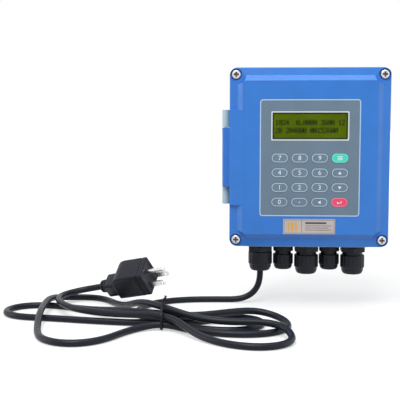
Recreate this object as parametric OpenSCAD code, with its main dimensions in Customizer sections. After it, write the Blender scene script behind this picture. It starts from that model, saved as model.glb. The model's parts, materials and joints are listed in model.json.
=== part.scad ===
// Wall-mounted ultrasonic flow meter: hinged case, keypad and display, five cable glands, mains cord.
// X runs to the right, the front faces -Y, Z is up. The origin is the middle of the back of the case,
// where it meets the wall. Depths are distances out from the wall.

/* [Case] */
// Distance from the outer glands' axes to the case's sides
end_margin = 32; // [30:0.5:45]
// Height of the case without the glands
case_h = 180; // [170:1:210]
// Radius of the case's long corners
case_r = 8; // [6:0.5:10]
// Depth of the base shell
base_d = 36; // [35:1:50]
// Depth of the lid from the base to its flat rim
lid_d = 15; // [15:0.5:20]
// Height of the raised panel over the rim
panel_rise = 5; // [3:0.5:6]
// Thickness of the side walls
wall_t = 5; // [4.5:0.25:6]
// Thickness of the base's back wall
back_t = 4; // [3:0.5:6]
// Thickness of the lid's front wall
front_t = 3; // [2.5:0.25:4]
// Width of the flat rim round the raised panel
rim_w = 8; // [6:0.5:9]
// Width of the slope between the rim and the panel
slope_w = 5; // [3:0.5:6]

/* [Lid screws] */
// Inset of the lid screws from the case's sides
screw_inset_x = 6.5; // [6:0.25:8]
// Inset of the lid screws from the case's top and bottom
screw_inset_z = 7; // [6:0.25:8]
// Diameter of a lid screw's head
screw_head_dia = 9.2; // [8:0.1:10]
// Diameter of a lid screw's shank
screw_dia = 3.2; // [2.8:0.1:3.4]
// Diameter of the pocket round a screw head
pocket_dia = 12; // [11:0.25:12.5]
// How far a screw enters its brass insert
screw_grip = 5; // [4:0.5:6]

/* [Hinge] */
// Diameter of the hinge knuckles
knuckle_dia = 7.4; // [6:0.2:8]
// Height of the whole hinge
hinge_h = 96; // [80:1:110]
// Height of the lid's middle knuckle
lid_knuckle_h = 60; // [50:1:66]
// Diameter of the hinge pin
hinge_pin_dia = 3; // [2.5:0.1:4]

/* [Front panel] */
// Width of the keypad overlay
overlay_w = 99.5; // [96:0.5:104]
// Height of the keypad overlay
overlay_h = 116.5; // [112:0.5:120]
// Thickness of the overlay and the display window
overlay_t = 0.8; // [0.6:0.1:1]
// Width of the display window
window_w = 74.6; // [70:0.2:80]
// Height of the display window
window_h = 26.6; // [24:0.2:28]
// Height of the window's middle over the case's middle
window_z = 31.9; // [30:0.1:36]
// Width of a key
key_w = 16.4; // [14:0.1:17]
// Height of a key
key_h = 9.1; // [8:0.1:10]
// Distance between key columns
key_pitch_x = 19.9; // [19:0.1:21]
// Distance between key rows
key_pitch_z = 14.7; // [13:0.1:15]
// How far a key goes in
key_travel = 0.4; // [0.3:0.05:0.4]
// Width of the label plate
label_w = 51.8; // [46:0.2:60]
// Height of the label plate
label_h = 15.2; // [12:0.2:15.6]

/* [Glands] */
// Space between neighbouring gland nuts
nut_space = 0.9; // [0.7:0.1:4]
// Distance of the large glands' axes from the wall
gland_depth = 20; // [19:0.5:21]
// How much nearer to the wall the small glands stand
small_gland_back = 4; // [0:0.5:4.5]
// Diameter of a large gland's nut
large_nut_dia = 25; // [24:0.2:25.6]
// Diameter of a small gland's nut
small_nut_dia = 21.2; // [20.4:0.2:21.8]
// How much wider a nut is than its gland's thread
nut_over_thread = 4.6; // [4.4:0.1:5]
// Bore of a large gland's seal
large_seal_bore = 10; // [8:0.25:11]
// Bore of a small gland's seal
small_seal_bore = 6.5; // [5:0.25:7.5]

/* [Mains cord] */
// Diameter of the mains cord
cord_dia = 6.5; // [6.5:0.1:6.6]

/* [Wall fixing] */
// Distance between the wall holes across
wall_hole_x = 128; // [120:1:128]
// Distance between the wall holes up
wall_hole_z = 144; // [130:1:146]
// Diameter of the wall holes
wall_hole_dia = 5.2; // [4:0.1:6]

/* [Hidden] */
$fn = 48;

// Overrun of every cut, so that no cut ends on a face
over = 1;
// Gap round a piece that is pushed or glued into its seat
seat_gap = 0.05;
// Gap between neighbours that move past each other
run_gap = 0.3;

// Glands and the case's width
gland_pitch = (large_nut_dia + small_nut_dia) / 2 + nut_space;
gland_span = 4 * gland_pitch;
case_w = gland_span + 2 * end_margin;

// Depths from the wall
rim_y = base_d + lid_d;
panel_y = rim_y + panel_rise;
inner_front_y = panel_y - front_t;

// Case
screw_x = case_w / 2 - screw_inset_x;
screw_z = case_h / 2 - screw_inset_z;
cavity_w = case_w - 2 * wall_t;
cavity_h = case_h - 2 * wall_t;
cavity_r = case_r - wall_t / 2;
pillar_r = 8.5;
panel_w = case_w - 2 * (rim_w + slope_w);
panel_h = case_h - 2 * (rim_w + slope_w);
panel_r = 3;
slope_r = panel_r + slope_w;
corner_cut_r = 9.5;
corner_cut_top_r = corner_cut_r + slope_w + slope_w / panel_rise;
hull_fn = 32;
hull_skin = 0.01;

// Gasket between the shells
gasket_in = 1.3;
gasket_w = 2.2;
gasket_t = 2;

// Lid screws and their brass inserts
screw_head_t = 3;
screw_hole_dia = 4.8;
recess_w = 1.1;
recess_l = 5.3;
recess_t = 1.6;
insert_dia = 7;
insert_bore = 4.4;
insert_t = 9.5;
screw_seat_y = rim_y - screw_head_t;

// Hinge
hinge_out = 4;
hinge_in = 3;
hinge_x = case_w / 2 + hinge_out;
hinge_y = base_d - hinge_in;
hinge_gap = 0.3;
pin_gap = 0.05;
lid_arm_t = 8;
wedge_drop = 3.5;

// Overlay and keys
window_gap = 0.2;
key_gap = 0.2;
key_proud = 0.3;
key_cap_t = 0.6;
stem_dia = 3.6;
stem_hole_dia = 4.4;
overlay_r = 3;
window_r = 1;
overlay_y = panel_y - overlay_t;
key_front_y = panel_y + key_proud;
key_cap_y = key_front_y - key_cap_t;
label_z = -68.6;
label_t = 0.3;
label_r = 0.8;

// Main board in the lid
main_board_space_x = 5;
main_board_space_z = 7;
main_board_w = panel_w - 2 * main_board_space_x;
main_board_h = panel_h - 2 * main_board_space_z;
main_board_lift = 9;
board_t = 1.6;
main_board_y = base_d + main_board_lift;
main_board_front_y = main_board_y + board_t;
lid_boss_inset = 6;
lid_boss_x = main_board_w / 2 - lid_boss_inset;
lid_boss_z = main_board_h / 2 - lid_boss_inset;
boss_dia = 7;
board_screw_dia = 3;
board_screw_head_dia = 5.6;
board_screw_head_t = 2.2;
board_screw_l = 8;
board_hole_dia = 3.4;
pilot_dia = 3.1;
pilot_t = 6;
main_screw_l = pilot_t + board_screw_head_t / 2;
switch_w = 6;
switch_t = 3.5;
button_dia = 3.4;
stem_free = 0.05;
button_t = 1.4;
button_y = main_board_front_y + switch_t + button_t;
button_foot_y = main_board_front_y + switch_t / 2;
stem_y = button_y + key_travel + stem_free;
lcd_edge_x = 8.7;
lcd_edge_z = 5.7;
lcd_frame_w = window_w + 2 * lcd_edge_x;
lcd_frame_h = window_h + 2 * lcd_edge_z;
lcd_lip = 0.2;

// Power board in the base
wall_boss_dia = 11;
wall_boss_t = 8;
power_board_space_x = 2.5;
power_board_space_z = 14.5;
power_board_up = 12;
power_board_w = wall_hole_x - wall_boss_dia - 2 * power_board_space_x;
power_board_h = wall_hole_z - wall_boss_dia - 2 * power_board_space_z;
power_board_z = power_board_up;
standoff_t = 10;
power_board_y = back_t + standoff_t;
power_board_front_y = power_board_y + board_t;
board_hole_inset = 5;

// Glands, from the case down
pad_t = 2.5;
pad_edge = 2.5;
pad_front_gap = 1.5;
pad_back_gap = 3.5;
pad_w = gland_span + large_nut_dia + 2 * pad_edge;
pad_d = base_d - pad_front_gap - pad_back_gap;
pad_y = pad_back_gap + pad_d / 2;
pad_r = 4;
washer_t = 1.2;
hex_t = 5;
flat_share = 0.96;
thread_gap = 0.3;
locknut_over_nut = 1.5;
locknut_t = 4.5;
stub_past_nut = 2;
large_collar_t = 10;
small_collar_t = 8.5;
claw_t = 4;
seal_t = 12;
claw_step = 1.2;
gland_wall = 2.6;
large_nut_t = 20;
small_nut_t = 16;
neck_tight = 0.3;
neck_loose = 3.3;
nut_floor_t = 4.5;
nut_wall = 1.8;
mouth_gap = 0.6;
flute_count_large = 20;
flute_count_small = 16;
flute_dia = 1.6;
// Outline of a nut's domed end, as shares of its radius and its height
dome_shares = [[0.74, 0], [0.86, 0.06], [0.95, 0.17], [1, 0.34]];
flute_share = 0.62;
cord_seal_gap = 0.05;

board_hole_x = power_board_w / 2 - board_hole_inset;
board_hole_z = power_board_h / 2 - board_hole_inset;
board_pilot_t = 9;
display_w = window_w - 2 * lcd_lip - 2 * run_gap;
display_h = window_h - 2 * lcd_lip - 2 * run_gap;
display_t = overlay_y - main_board_front_y - window_gap;
lcd_frame_t = inner_front_y - main_board_front_y - run_gap;

// Pieces on the power board
transformer_x = -27;
transformer_up = 26;
transformer_z = power_board_z + transformer_up;
core_w = 42;
core_h = 30;
core_t = 16.5;
core_lift = 2.5;
coil_y = power_board_front_y + core_lift;
coil_w = 26;
coil_h = 44;
capacitor_x = 12;
capacitor_up = 14;
capacitor_z = power_board_z + capacitor_up;
capacitor_pitch = 13;
capacitor_t = 16;
capacitor_dia = 11;
fuse_x = -34;
fuse_down = 18;
fuse_z = power_board_z - fuse_down;
fuse_l = 20;
fuse_dia = 4.4;
fuse_cap_l = 5.5;
fuse_cap_t = 0.4;
fuse_lift = 5;
fuse_y = power_board_front_y + fuse_lift;
clip_t = 0.8;
clip_w = fuse_cap_l - 2 * fuse_cap_t;
clip_h = fuse_dia + 2 * fuse_cap_t + 2 * clip_t;
clip_rise = fuse_y - power_board_front_y + fuse_dia / 4;
relay_x = 36;
relay_up = 12;
relay_z = power_board_z + relay_up;
relay_pitch = 20;
relay_w = 19;
relay_h = 15.5;
relay_t = 15;
terminal_inset = 7;
terminal_z = power_board_z - power_board_h / 2 + terminal_inset;
terminal_h = 11;
terminal_t = 13;
terminal_well_t = 4;
terminal_well_y = power_board_front_y + terminal_t - terminal_well_t;
terminal_well_dia = 3.2;
wire_hole_dia = 2.6;
wire_lift = 4;
wire_y = power_board_front_y + wire_lift;
mains_terminal_x = -39.5;
mains_ways = 3;
mains_terminal_pitch = 5;
signal_terminal_x = -10;
signal_ways = 8;
signal_terminal_pitch = 3.8;
terminal_gap = 1;
signal_row_pitch = signal_ways * signal_terminal_pitch + terminal_gap;
stud_x = -22;
stud_up = 25;
stud_t = 14;
stud_dia = 4;
stud_nut_flats = 7;
stud_nut_t = 3.2;
sheath_past_stub = 4.5;
core_space = 1.5;
core_dia = 1.6;
wire_in = 3;
// Place, width, height and thickness of each piece on the main board's back, as shares of its width
chip_shares = [
    [-0.08, 0, 0.113, 0.113, 0.0125], [0.145, 0.03, 0.08, 0.056, 0.0125],
    [0.145, -0.1, 0.08, 0.056, 0.0125], [-0.27, 0.065, 0.073, 0.048, 0.0125],
    [-0.065, 0.18, 0.09, 0.036, 0.027], [-0.435, 0, 0.05, 0.34, 0.05],
    [0.27, -0.32, 0.32, 0.073, 0.05], [-0.08, -0.34, 0.24, 0.073, 0.05]
];
battery_x = 40;
battery_z = 32;
holder_t = 5;
holder_floor_t = 1;
cell_back_y = main_board_y - holder_floor_t;
holder_dia = 24;
cell_dia = 20;
cell_t = 3.2;

case_bottom = -case_h / 2;
stub_z = case_bottom + wall_t + locknut_t + stub_past_nut;
sheath_z = stub_z + sheath_past_stub;
stud_z = case_bottom + wall_t + stud_up;
pad_z = case_bottom - pad_t;
hex_top_z = pad_z - washer_t;
hex_bottom_z = hex_top_z - hex_t;
cable_exit_z = hex_bottom_z - neck_tight - large_nut_t;

// Plug, along its own axis from the end of the cord
plug_sleeve_l = 8;
plug_sleeve_dia = 13;
plug_neck_l = 14;
plug_neck_w = 20;
plug_neck_h = 18;
plug_body_l = 38;
plug_body_w = 28;
plug_body_h = 29;
shoulder_r = 12;
plug_edge_r = 2.5;
blade_l = 17.5;
blade_w = 6.35;
blade_t = 1.5;
blade_space = 12.7;
blade_hole_dia = 3.1;
blade_hole_share = 0.8;
blade_tip = 1.2;
earth_pin_l = 21;
earth_pin_dia = 4.8;
earth_pin_rise = 11.9;
block_x = plug_sleeve_l + plug_neck_l;
plug_face_x = block_x + plug_body_l;
block_shift = (plug_body_h - plug_neck_h) / 2;
block_top = plug_body_h / 2 + block_shift;
pin_group_drop = 0.5;
plug_roll = 38;
plug_turn = -22;
plug_tilt = 12;

// The cord's route: x and y from the first gland's axis and height over the cord's resting line, for
// each guiding point of one smooth curve
cord_drop = 32;
lead_route = [
    [0, 0, 32], [0, 0, 24.5], [-2, 0, 14], [-9, 0, 5], [-21, -1, 0], [-38, -1, 0],
    [-62, -2, 0], [-86, -7, 0], [-107, -20, 0], [-120, -41, 0], [-123, -66, 0], [-114, -89, 0],
    [-93, -105, 3], [-69, -109, 0]
];
hank_route = [
    [-49, -97, 0], [-32, -84, 0], [-14, -82.5, 0], [1, -95.5, 0], [1, -117, 0], [-16, -132, 0],
    [-36, -135, 0], [-56, -129, 0], [-73, -120, 0], [-92, -113.5, 3], [-115, -110, 0], [-139, -107, 0],
    [-164, -103, 0], [-188, -98, 0], [-210, -94, 0], [-232, -92, 0], [-250, -80, 0],
    [-254, -60, 0], [-242, -43, 0], [-221, -38, 0], [-199, -45, 0], [-176, -59, 1], [-154, -76, 4],
    [-134, -91, 7.5], [-114, -103, 9], [-92, -109.5, 9], [-69, -111, 7.5], [-47, -103, 7.5],
    [-26, -90, 7.5], [-4, -83, 7.5], [17, -90, 3], [27, -110, 0], [20, -133, 0], [0, -146, 0],
    [-24, -148, 0], [-48, -143, 0], [-70, -131, 0], [-92, -120.5, 3], [-112, -128, 0],
    [-126, -148, 0], [-136, -170, 0], [-153, -185, 0], [-174, -186, 0], [-192, -173, 0],
    [-201, -152, 0], [-206, -128, 3], [-210, -103, 7.5], [-213, -78, 7], [-215, -52, 8],
    [-214, -27, 6], [-204, -6, 1], [-184, 3, 0], [-164, -5, 0], [-152, -23, 0], [-142, -44, 2],
    [-130, -67, 7], [-115, -91, 17], [-92, -113, 16.5], [-69, -123, 11], [-47, -130, 8],
    [-24, -133, 7.5], [-2, -132, 8], [18, -139, 7], [28, -158, 1], [21, -179, 0], [1, -190, 0],
    [-22, -186, 0], [-43, -172, 0], [-62, -152, 2], [-77, -132, 9], [-95, -119, 10],
    [-118, -111, 8], [-142, -106, 7.5], [-165, -97, 7.5], [-185, -83, 7.5], [-200, -62, 8],
    [-205, -45, 8], [-206.5, -30, 7.5], [-201, -17.5, 8], [-190, -10, 9.6], [-177, -9, 12],
    [-165, -13.5, 14.8]
];
route_steps = 3;
tube_sides = 8;
tie_w = 2.6;
tie_t = 1.2;
tie_x = -92;
tie_gap = 0.5;
// Corners of the bundle in the tie: y from the glands' row and height over the resting line
tie_corners = [[-102.6, 2], [-123.8, 2], [-123.6, 9.5], [-112.2, 15.9], [-109.8, 16]];

cord_rest_z = cable_exit_z - cord_drop;
route_start = [-gland_span / 2, -gland_depth, cord_rest_z];
route = concat(lead_route, hank_route);
lead_rings = route_steps * (len(lead_route) - 1);

// One point on the smooth curve that the guiding points a, b, c and d steer
function curve_point(a, b, c, d, t) =
    (pow(1 - t, 3) * a + (3 * pow(t, 3) - 6 * t * t + 4) * b
        + (3 * t * t + 3 * t + 1 - 3 * pow(t, 3)) * c + pow(t, 3) * d) / 6;
function unit(v) = v / norm(v);

guide = concat([2 * route[0] - route[1]], route, [2 * route[len(route) - 1] - route[len(route) - 2]]);
centres = [
    for (i = [0 : len(guide) - 4], k = [0 : route_steps - 1])
        route_start + curve_point(guide[i], guide[i + 1], guide[i + 2], guide[i + 3], k / route_steps),
    route_start + route[len(route) - 1]
];
last = len(centres) - 1;
ways = [for (i = [0 : last]) unit(centres[min(i + 1, last)] - centres[max(i - 1, 0)])];
sides = [
    for (i = 0, n = [0, 1, 0]; i <= last; i = i + 1, n = i <= last ? unit(n - (n * ways[i]) * ways[i]) : n)
        n
];

// Least distance between two stretches of the cord that aren't neighbours, less its diameter
apart = 8;
distances = [for (i = [0 : last - apart], j = [i + apart : last]) norm(centres[i] - centres[j])];
least_gap = min(distances) - cord_dia;
function run_length(i) = i == 0 ? 0 : norm(centres[i] - centres[i - 1]) + run_length(i - 1);
echo(cord_length = run_length(last), least_gap = least_gap);

// Rectangle with round corners, centred
module round_rect(w, h, r) {
    square([w - 2 * r, h], center = true);
    square([w, h - 2 * r], center = true);
    for (x = [-1, 1], z = [-1, 1])
        translate([x * (w / 2 - r), z * (h / 2 - r)]) circle(r);
}

// Bar with full-round ends, centred
module obround(w, h) {
    square([w - h, h], center = true);
    for (x = [-1, 1]) translate([x * (w - h) / 2, 0]) circle(d = h);
}

// Lifts a flat shape into a plate that starts at a depth from the wall and runs outwards
module plate(y, t) {
    translate([0, -y, 0]) rotate([90, 0, 0]) linear_extrude(t) children();
}

// Round bar that runs outwards from a depth
module rod(x, z, y, t, d) {
    translate([x, -y, z]) rotate([90, 0, 0]) cylinder(d = d, h = t);
}

module box(x, z, y, w, h, t) {
    translate([x, 0, z]) plate(y, t) square([w, h], center = true);
}

module at_lid_screws() {
    for (x = [-1, 1], z = [-1, 1]) translate([x * screw_x, 0, z * screw_z]) children();
}

module at_wall_holes() {
    for (x = [-1, 1], z = [-1, 1]) translate([x * wall_hole_x / 2, 0, z * wall_hole_z / 2]) children();
}

module at_board_holes() {
    for (x = [-1, 1], z = [-1, 1])
        translate([x * board_hole_x, 0, power_board_z + z * board_hole_z]) children();
}

// Inside of the case, or a line round it at a distance g from the inside
module cavity_outline(g) {
    difference() {
        round_rect(cavity_w + 2 * g, cavity_h + 2 * g, cavity_r + g);
        for (x = [-1, 1], z = [-1, 1]) {
            translate([x * screw_x, z * screw_z]) circle(pillar_r - g);
            translate([x * (screw_x + case_r), z * (screw_z + case_r)]) square(2 * case_r, center = true);
        }
    }
}

function gland_x(i) = (i - 2) * gland_pitch;
function is_large(i) = i % 2 == 0;
function gland_y(i) = is_large(i) ? gland_depth : gland_depth - small_gland_back;
function nut_dia(i) = is_large(i) ? large_nut_dia : small_nut_dia;
function thread_dia(i) = nut_dia(i) - nut_over_thread;
function nut_t(i) = is_large(i) ? large_nut_t : small_nut_t;
function neck(i) = i == 0 ? neck_tight : neck_loose;
function nut_top_z(i) = hex_bottom_z - neck(i);
function collar_t(i) = is_large(i) ? large_collar_t : small_collar_t;
function nut_bore(i) = nut_dia(i) - 2 * nut_wall;
function collar_dia(i) = nut_bore(i) - 2 * thread_gap;
function claw_z(i) = hex_bottom_z - collar_t(i) - claw_t;
function nut_bottom_z(i) = nut_top_z(i) - nut_t(i);
function seal_bore(i) =
    i == 0 ? cord_dia + 2 * cord_seal_gap : is_large(i) ? large_seal_bore : small_seal_bore;
function body_bore(i) = thread_dia(i) - 2 * gland_wall;

module at_gland(i, z) {
    translate([gland_x(i), -gland_y(i), z]) children();
}

module base_shell() {
    color([0.72, 0.75, 0.76]) difference() {
        union() {
            plate(0, base_d) round_rect(case_w, case_h, case_r);
            translate([0, -pad_y, pad_z]) linear_extrude(pad_t + wall_t)
                round_rect(pad_w, pad_d, pad_r);
            for (z = [-1, 1]) base_knuckle(z);
        }
        difference() {
            plate(back_t, base_d) cavity_outline(0);
            at_wall_holes() rod(0, 0, back_t - over, wall_boss_t + over, wall_boss_dia);
            at_board_holes() rod(0, 0, back_t - over, standoff_t + over, boss_dia);
        }
        at_wall_holes() rod(0, 0, -over, base_d, wall_hole_dia);
        at_board_holes() rod(0, 0, power_board_y - board_pilot_t, standoff_t, pilot_dia);
        at_lid_screws() rod(0, 0, base_d - insert_t, insert_t + over, insert_dia);
        for (i = [0 : 4])
            at_gland(i, pad_z - over)
                cylinder(d = thread_dia(i) + 2 * seat_gap, h = pad_t + wall_t + 2 * over);
        translate([-hinge_x, -hinge_y, -hinge_h / 2 - over])
            cylinder(d = hinge_pin_dia, h = hinge_h + 2 * over);
    }
}

// Knuckle at the upper or lower end of the hinge, with the arm that carries it
module base_knuckle(z) {
    knuckle_h = (hinge_h - lid_knuckle_h) / 2 - hinge_gap;
    translate([-hinge_x, -hinge_y, z * (hinge_h - knuckle_h) / 2]) {
        cylinder(d = knuckle_dia, h = knuckle_h, center = true);
        translate([(hinge_x - case_w / 2 + wall_t) / 2, knuckle_dia / 4, 0])
            cube([hinge_x - case_w / 2 + wall_t, knuckle_dia / 2, knuckle_h], center = true);
    }
}

module lid_inserts() {
    color([0.78, 0.62, 0.3]) at_lid_screws() difference() {
        rod(0, 0, base_d - insert_t, insert_t, insert_dia);
        rod(0, 0, base_d - insert_t + over, insert_t, insert_bore);
    }
}

module hinge_pin() {
    color([0.7, 0.7, 0.72]) translate([-hinge_x, -hinge_y, 0])
        cylinder(d = hinge_pin_dia, h = hinge_h, center = true);
}

// Six-sided block with two flats facing its neighbours
module hex_block(flats, h) {
    rotate(30) cylinder(d = flats / cos(30), h = h, $fn = 6);
}

module gland_bodies() {
    color([0.13, 0.14, 0.16]) for (i = [0 : 4]) difference() {
        union() {
            at_gland(i, hex_bottom_z) hex_block(nut_dia(i) * flat_share, hex_t);
            at_gland(i, hex_bottom_z) cylinder(d = thread_dia(i), h = stub_z - hex_bottom_z);
            at_gland(i, hex_bottom_z - collar_t(i)) cylinder(d = collar_dia(i), h = collar_t(i) + hex_t / 2);
            at_gland(i, claw_z(i)) cylinder(d = collar_dia(i) - 2 * claw_step, h = claw_t + hex_t);
        }
        at_gland(i, claw_z(i) - over) cylinder(d = body_bore(i), h = stub_z - claw_z(i) + 2 * over);
    }
}

module gland_washers() {
    color([0.2, 0.2, 0.22]) for (i = [0 : 4]) at_gland(i, hex_top_z) difference() {
        cylinder(d = nut_dia(i) * flat_share, h = washer_t);
        translate([0, 0, -over]) cylinder(d = thread_dia(i) + 2 * seat_gap, h = washer_t + 2 * over);
    }
}

module gland_locknuts() {
    color([0.16, 0.17, 0.19]) for (i = [0 : 4]) at_gland(i, case_bottom + wall_t) difference() {
        hex_block((nut_dia(i) + locknut_over_nut) * cos(30), locknut_t);
        translate([0, 0, -over]) cylinder(d = thread_dia(i) + 2 * seat_gap, h = locknut_t + 2 * over);
    }
}

module gland_seals() {
    color([0.1, 0.1, 0.11]) for (i = [0 : 4]) at_gland(i, nut_bottom_z(i) + nut_floor_t) difference() {
        cylinder(d = body_bore(i) - 2 * seat_gap, h = seal_t);
        translate([0, 0, -over]) cylinder(d = seal_bore(i), h = seal_t + 2 * over);
    }
}

// Domed and fluted nut that squeezes the seal
module gland_nut(i) {
    r = nut_dia(i) / 2;
    h = nut_t(i);
    mouth_r = seal_bore(i) / 2 + mouth_gap;
    count = is_large(i) ? flute_count_large : flute_count_small;
    color([0.14, 0.15, 0.17]) at_gland(i, nut_bottom_z(i)) difference() {
        rotate_extrude() polygon(concat(
            [[mouth_r, 0]],
            [for (s = dome_shares) [s[0] * r, s[1] * h]],
            [[r, h], [nut_bore(i) / 2, h], [nut_bore(i) / 2, nut_floor_t], [mouth_r, nut_floor_t]]
        ));
        for (k = [0 : count - 1])
            rotate(k * 360 / count) translate([r + flute_dia / 4, 0, h * (1 - flute_share)])
                cylinder(d = flute_dia, h = h * flute_share + over, $fn = 16);
    }
}

module gland_nut_1() gland_nut(0);
module gland_nut_2() gland_nut(1);
module gland_nut_3() gland_nut(2);
module gland_nut_4() gland_nut(3);
module gland_nut_5() gland_nut(4);

module power_board() {
    color([0.1, 0.36, 0.2]) difference() {
        box(0, power_board_z, power_board_y, power_board_w, power_board_h, board_t);
        at_board_holes() rod(0, 0, power_board_y - over, board_t + 2 * over, board_hole_dia);
    }
}

module power_board_screws() {
    shank_y = power_board_front_y - board_screw_l;
    color([0.75, 0.75, 0.78]) at_board_holes() {
        rod(0, 0, power_board_front_y, board_screw_head_t, board_screw_head_dia);
        rod(0, 0, shank_y, board_screw_l + board_screw_head_t / 2, board_screw_dia);
    }
}

// Stacked iron core, with the windings coming out of its two windows
module power_transformer() {
    color([0.35, 0.36, 0.38]) {
        box(transformer_x, transformer_z, power_board_front_y, core_w, core_h, core_t);
        box(transformer_x, transformer_z, coil_y, coil_w, coil_h, core_t - 2 * core_lift);
    }
}

module smoothing_capacitors() {
    color([0.12, 0.13, 0.16]) for (k = [0 : 2])
        rod(capacitor_x, capacitor_z + k * capacitor_pitch, power_board_front_y, capacitor_t, capacitor_dia);
}

module mains_fuse() {
    color([0.8, 0.82, 0.82]) translate([fuse_x, -fuse_y, fuse_z]) rotate([0, 90, 0]) {
        cylinder(d = fuse_dia, h = fuse_l, center = true);
        for (k = [-1, 1]) translate([0, 0, k * (fuse_l - fuse_cap_l) / 2])
            cylinder(d = fuse_dia + 2 * fuse_cap_t, h = fuse_cap_l, center = true);
    }
}

// Spring clips that hold the fuse over the board
module fuse_clips() {
    color([0.8, 0.76, 0.6]) for (k = [-1, 1]) difference() {
        box(fuse_x + k * (fuse_l - fuse_cap_l) / 2, fuse_z, power_board_front_y, clip_w, clip_h, clip_rise);
        translate([fuse_x, -fuse_y, fuse_z]) rotate([0, 90, 0])
            cylinder(d = fuse_dia + 2 * fuse_cap_t + 2 * seat_gap, h = 2 * fuse_l, center = true);
    }
}

module output_relays() {
    color([0.12, 0.3, 0.6]) for (k = [0, 1])
        box(relay_x, relay_z + k * relay_pitch, power_board_front_y, relay_w, relay_h, relay_t);
}

// Row of screw terminals along the board's lower edge
module terminal_row(x, count, pitch) {
    difference() {
        box(x, terminal_z, power_board_front_y, count * pitch, terminal_h, terminal_t);
        for (k = [0 : count - 1])
            translate([x + (k - (count - 1) / 2) * pitch, 0, 0]) {
                rod(0, terminal_z, terminal_well_y, terminal_well_t + over, terminal_well_dia);
                translate([0, -wire_y, terminal_z - terminal_h / 2 - over])
                    cylinder(d = wire_hole_dia, h = terminal_h / 2);
            }
    }
}

module mains_terminal() {
    color([0.1, 0.42, 0.25]) terminal_row(mains_terminal_x, mains_ways, mains_terminal_pitch);
}

module signal_terminals() {
    color([0.1, 0.5, 0.28]) for (k = [0, 1])
        terminal_row(signal_terminal_x + k * signal_row_pitch, signal_ways, signal_terminal_pitch);
}

module earth_stud() {
    color([0.8, 0.68, 0.35]) {
        rod(stud_x, stud_z, back_t, stud_t, stud_dia);
        translate([stud_x, -back_t, stud_z]) rotate([90, 0, 0]) hex_block(stud_nut_flats, stud_nut_t);
    }
}

// Straight round wire from one point to another
module wire(a, b, d) {
    v = b - a;
    translate(a) rotate([0, acos(v[2] / norm(v)), atan2(v[1], v[0])]) cylinder(d = d, h = norm(v), $fn = 24);
}

// Cord inside the case: the sheath up through the gland, then its three cores
module mains_tail() {
    color([0.16, 0.17, 0.2]) at_gland(0, cable_exit_z) cylinder(d = cord_dia, h = sheath_z - cable_exit_z);
    color([0.3, 0.35, 0.6]) for (k = [-1, 1]) wire(
        [gland_x(0) + k * core_space, -gland_depth, sheath_z],
        [mains_terminal_x + k * mains_terminal_pitch, -wire_y, terminal_z - terminal_h / 2 + wire_in],
        core_dia
    );
    color([0.3, 0.6, 0.2]) wire(
        [gland_x(0), -gland_depth + core_space, sheath_z],
        [stud_x, -(back_t + stud_nut_t + core_dia), stud_z - stud_nut_flats / 2],
        core_dia
    );
}

// Round tube over the rings from one to another, with closed ends
module tube(from, to) {
    count = to - from + 1;
    turns = [for (k = [0 : tube_sides - 1]) k * 360 / tube_sides];
    points = [
        for (i = [from : to], a = turns)
            centres[i] + cord_dia / 2 * (cos(a) * sides[i] + sin(a) * cross(ways[i], sides[i]))
    ];
    function at(i, k) = i * tube_sides + k % tube_sides;
    polyhedron(points, concat(
        [for (i = [0 : count - 2], k = [0 : tube_sides - 1]) [at(i, k), at(i + 1, k), at(i + 1, k + 1)]],
        [for (i = [0 : count - 2], k = [0 : tube_sides - 1]) [at(i, k), at(i + 1, k + 1), at(i, k + 1)]],
        [for (k = [1 : tube_sides - 2]) [at(0, 0), at(0, k), at(0, k + 1)]],
        [for (k = [1 : tube_sides - 2]) [at(count - 1, 0), at(count - 1, k + 1), at(count - 1, k)]]
    ));
}

module power_cord_lead() {
    color([0.17, 0.18, 0.22]) tube(0, lead_rings);
}

module power_cord_hank() {
    color([0.17, 0.18, 0.22]) tube(lead_rings, last);
}

// Line round the bundle of strands, at a distance g from them
module bundle_outline(g) {
    hull() for (p = tie_corners) translate(p) circle(d = cord_dia + 2 * g, $fn = hull_fn);
}

// Thin band drawn round the bundle of strands
module cord_tie() {
    color([0.05, 0.05, 0.06]) translate(route_start + [tie_x, 0, 0]) rotate([90, 0, 90])
        linear_extrude(tie_w, center = true) difference() {
            bundle_outline(tie_gap + tie_t);
            bundle_outline(tie_gap);
        }
}

// Places a piece of the plug, whose own X runs from the cord to the pins
module at_plug() {
    translate(centres[last]) rotate([0, 0, plug_turn]) rotate([0, -plug_tilt, 0])
        rotate([plug_roll, 0, 0]) children();
}

// Block with round edges, from a place along the plug
module plug_block(from, length, w, h) {
    translate([from, 0, 0]) rotate([90, 0, 90]) linear_extrude(length) round_rect(w, h, plug_edge_r);
}

// Side view of the main block, with a quarter circle on the earth pin's side
module block_profile() {
    translate([block_x, block_top - plug_body_h]) square([plug_body_l, plug_body_h - shoulder_r]);
    translate([block_x + shoulder_r, block_top - shoulder_r]) {
        circle(r = shoulder_r);
        square([plug_body_l - shoulder_r, shoulder_r]);
    }
}

module plug_body() {
    color([0.1, 0.1, 0.11]) at_plug() {
        rotate([0, 90, 0]) cylinder(d = plug_sleeve_dia, h = plug_sleeve_l);
        plug_block(plug_sleeve_l, plug_neck_l + plug_body_l / 2, plug_neck_w, plug_neck_h);
        intersection() {
            translate([0, 0, block_shift]) plug_block(block_x, plug_body_l, plug_body_w, plug_body_h);
            rotate([90, 0, 0]) linear_extrude(2 * plug_body_w, center = true) block_profile();
        }
    }
}

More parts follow.
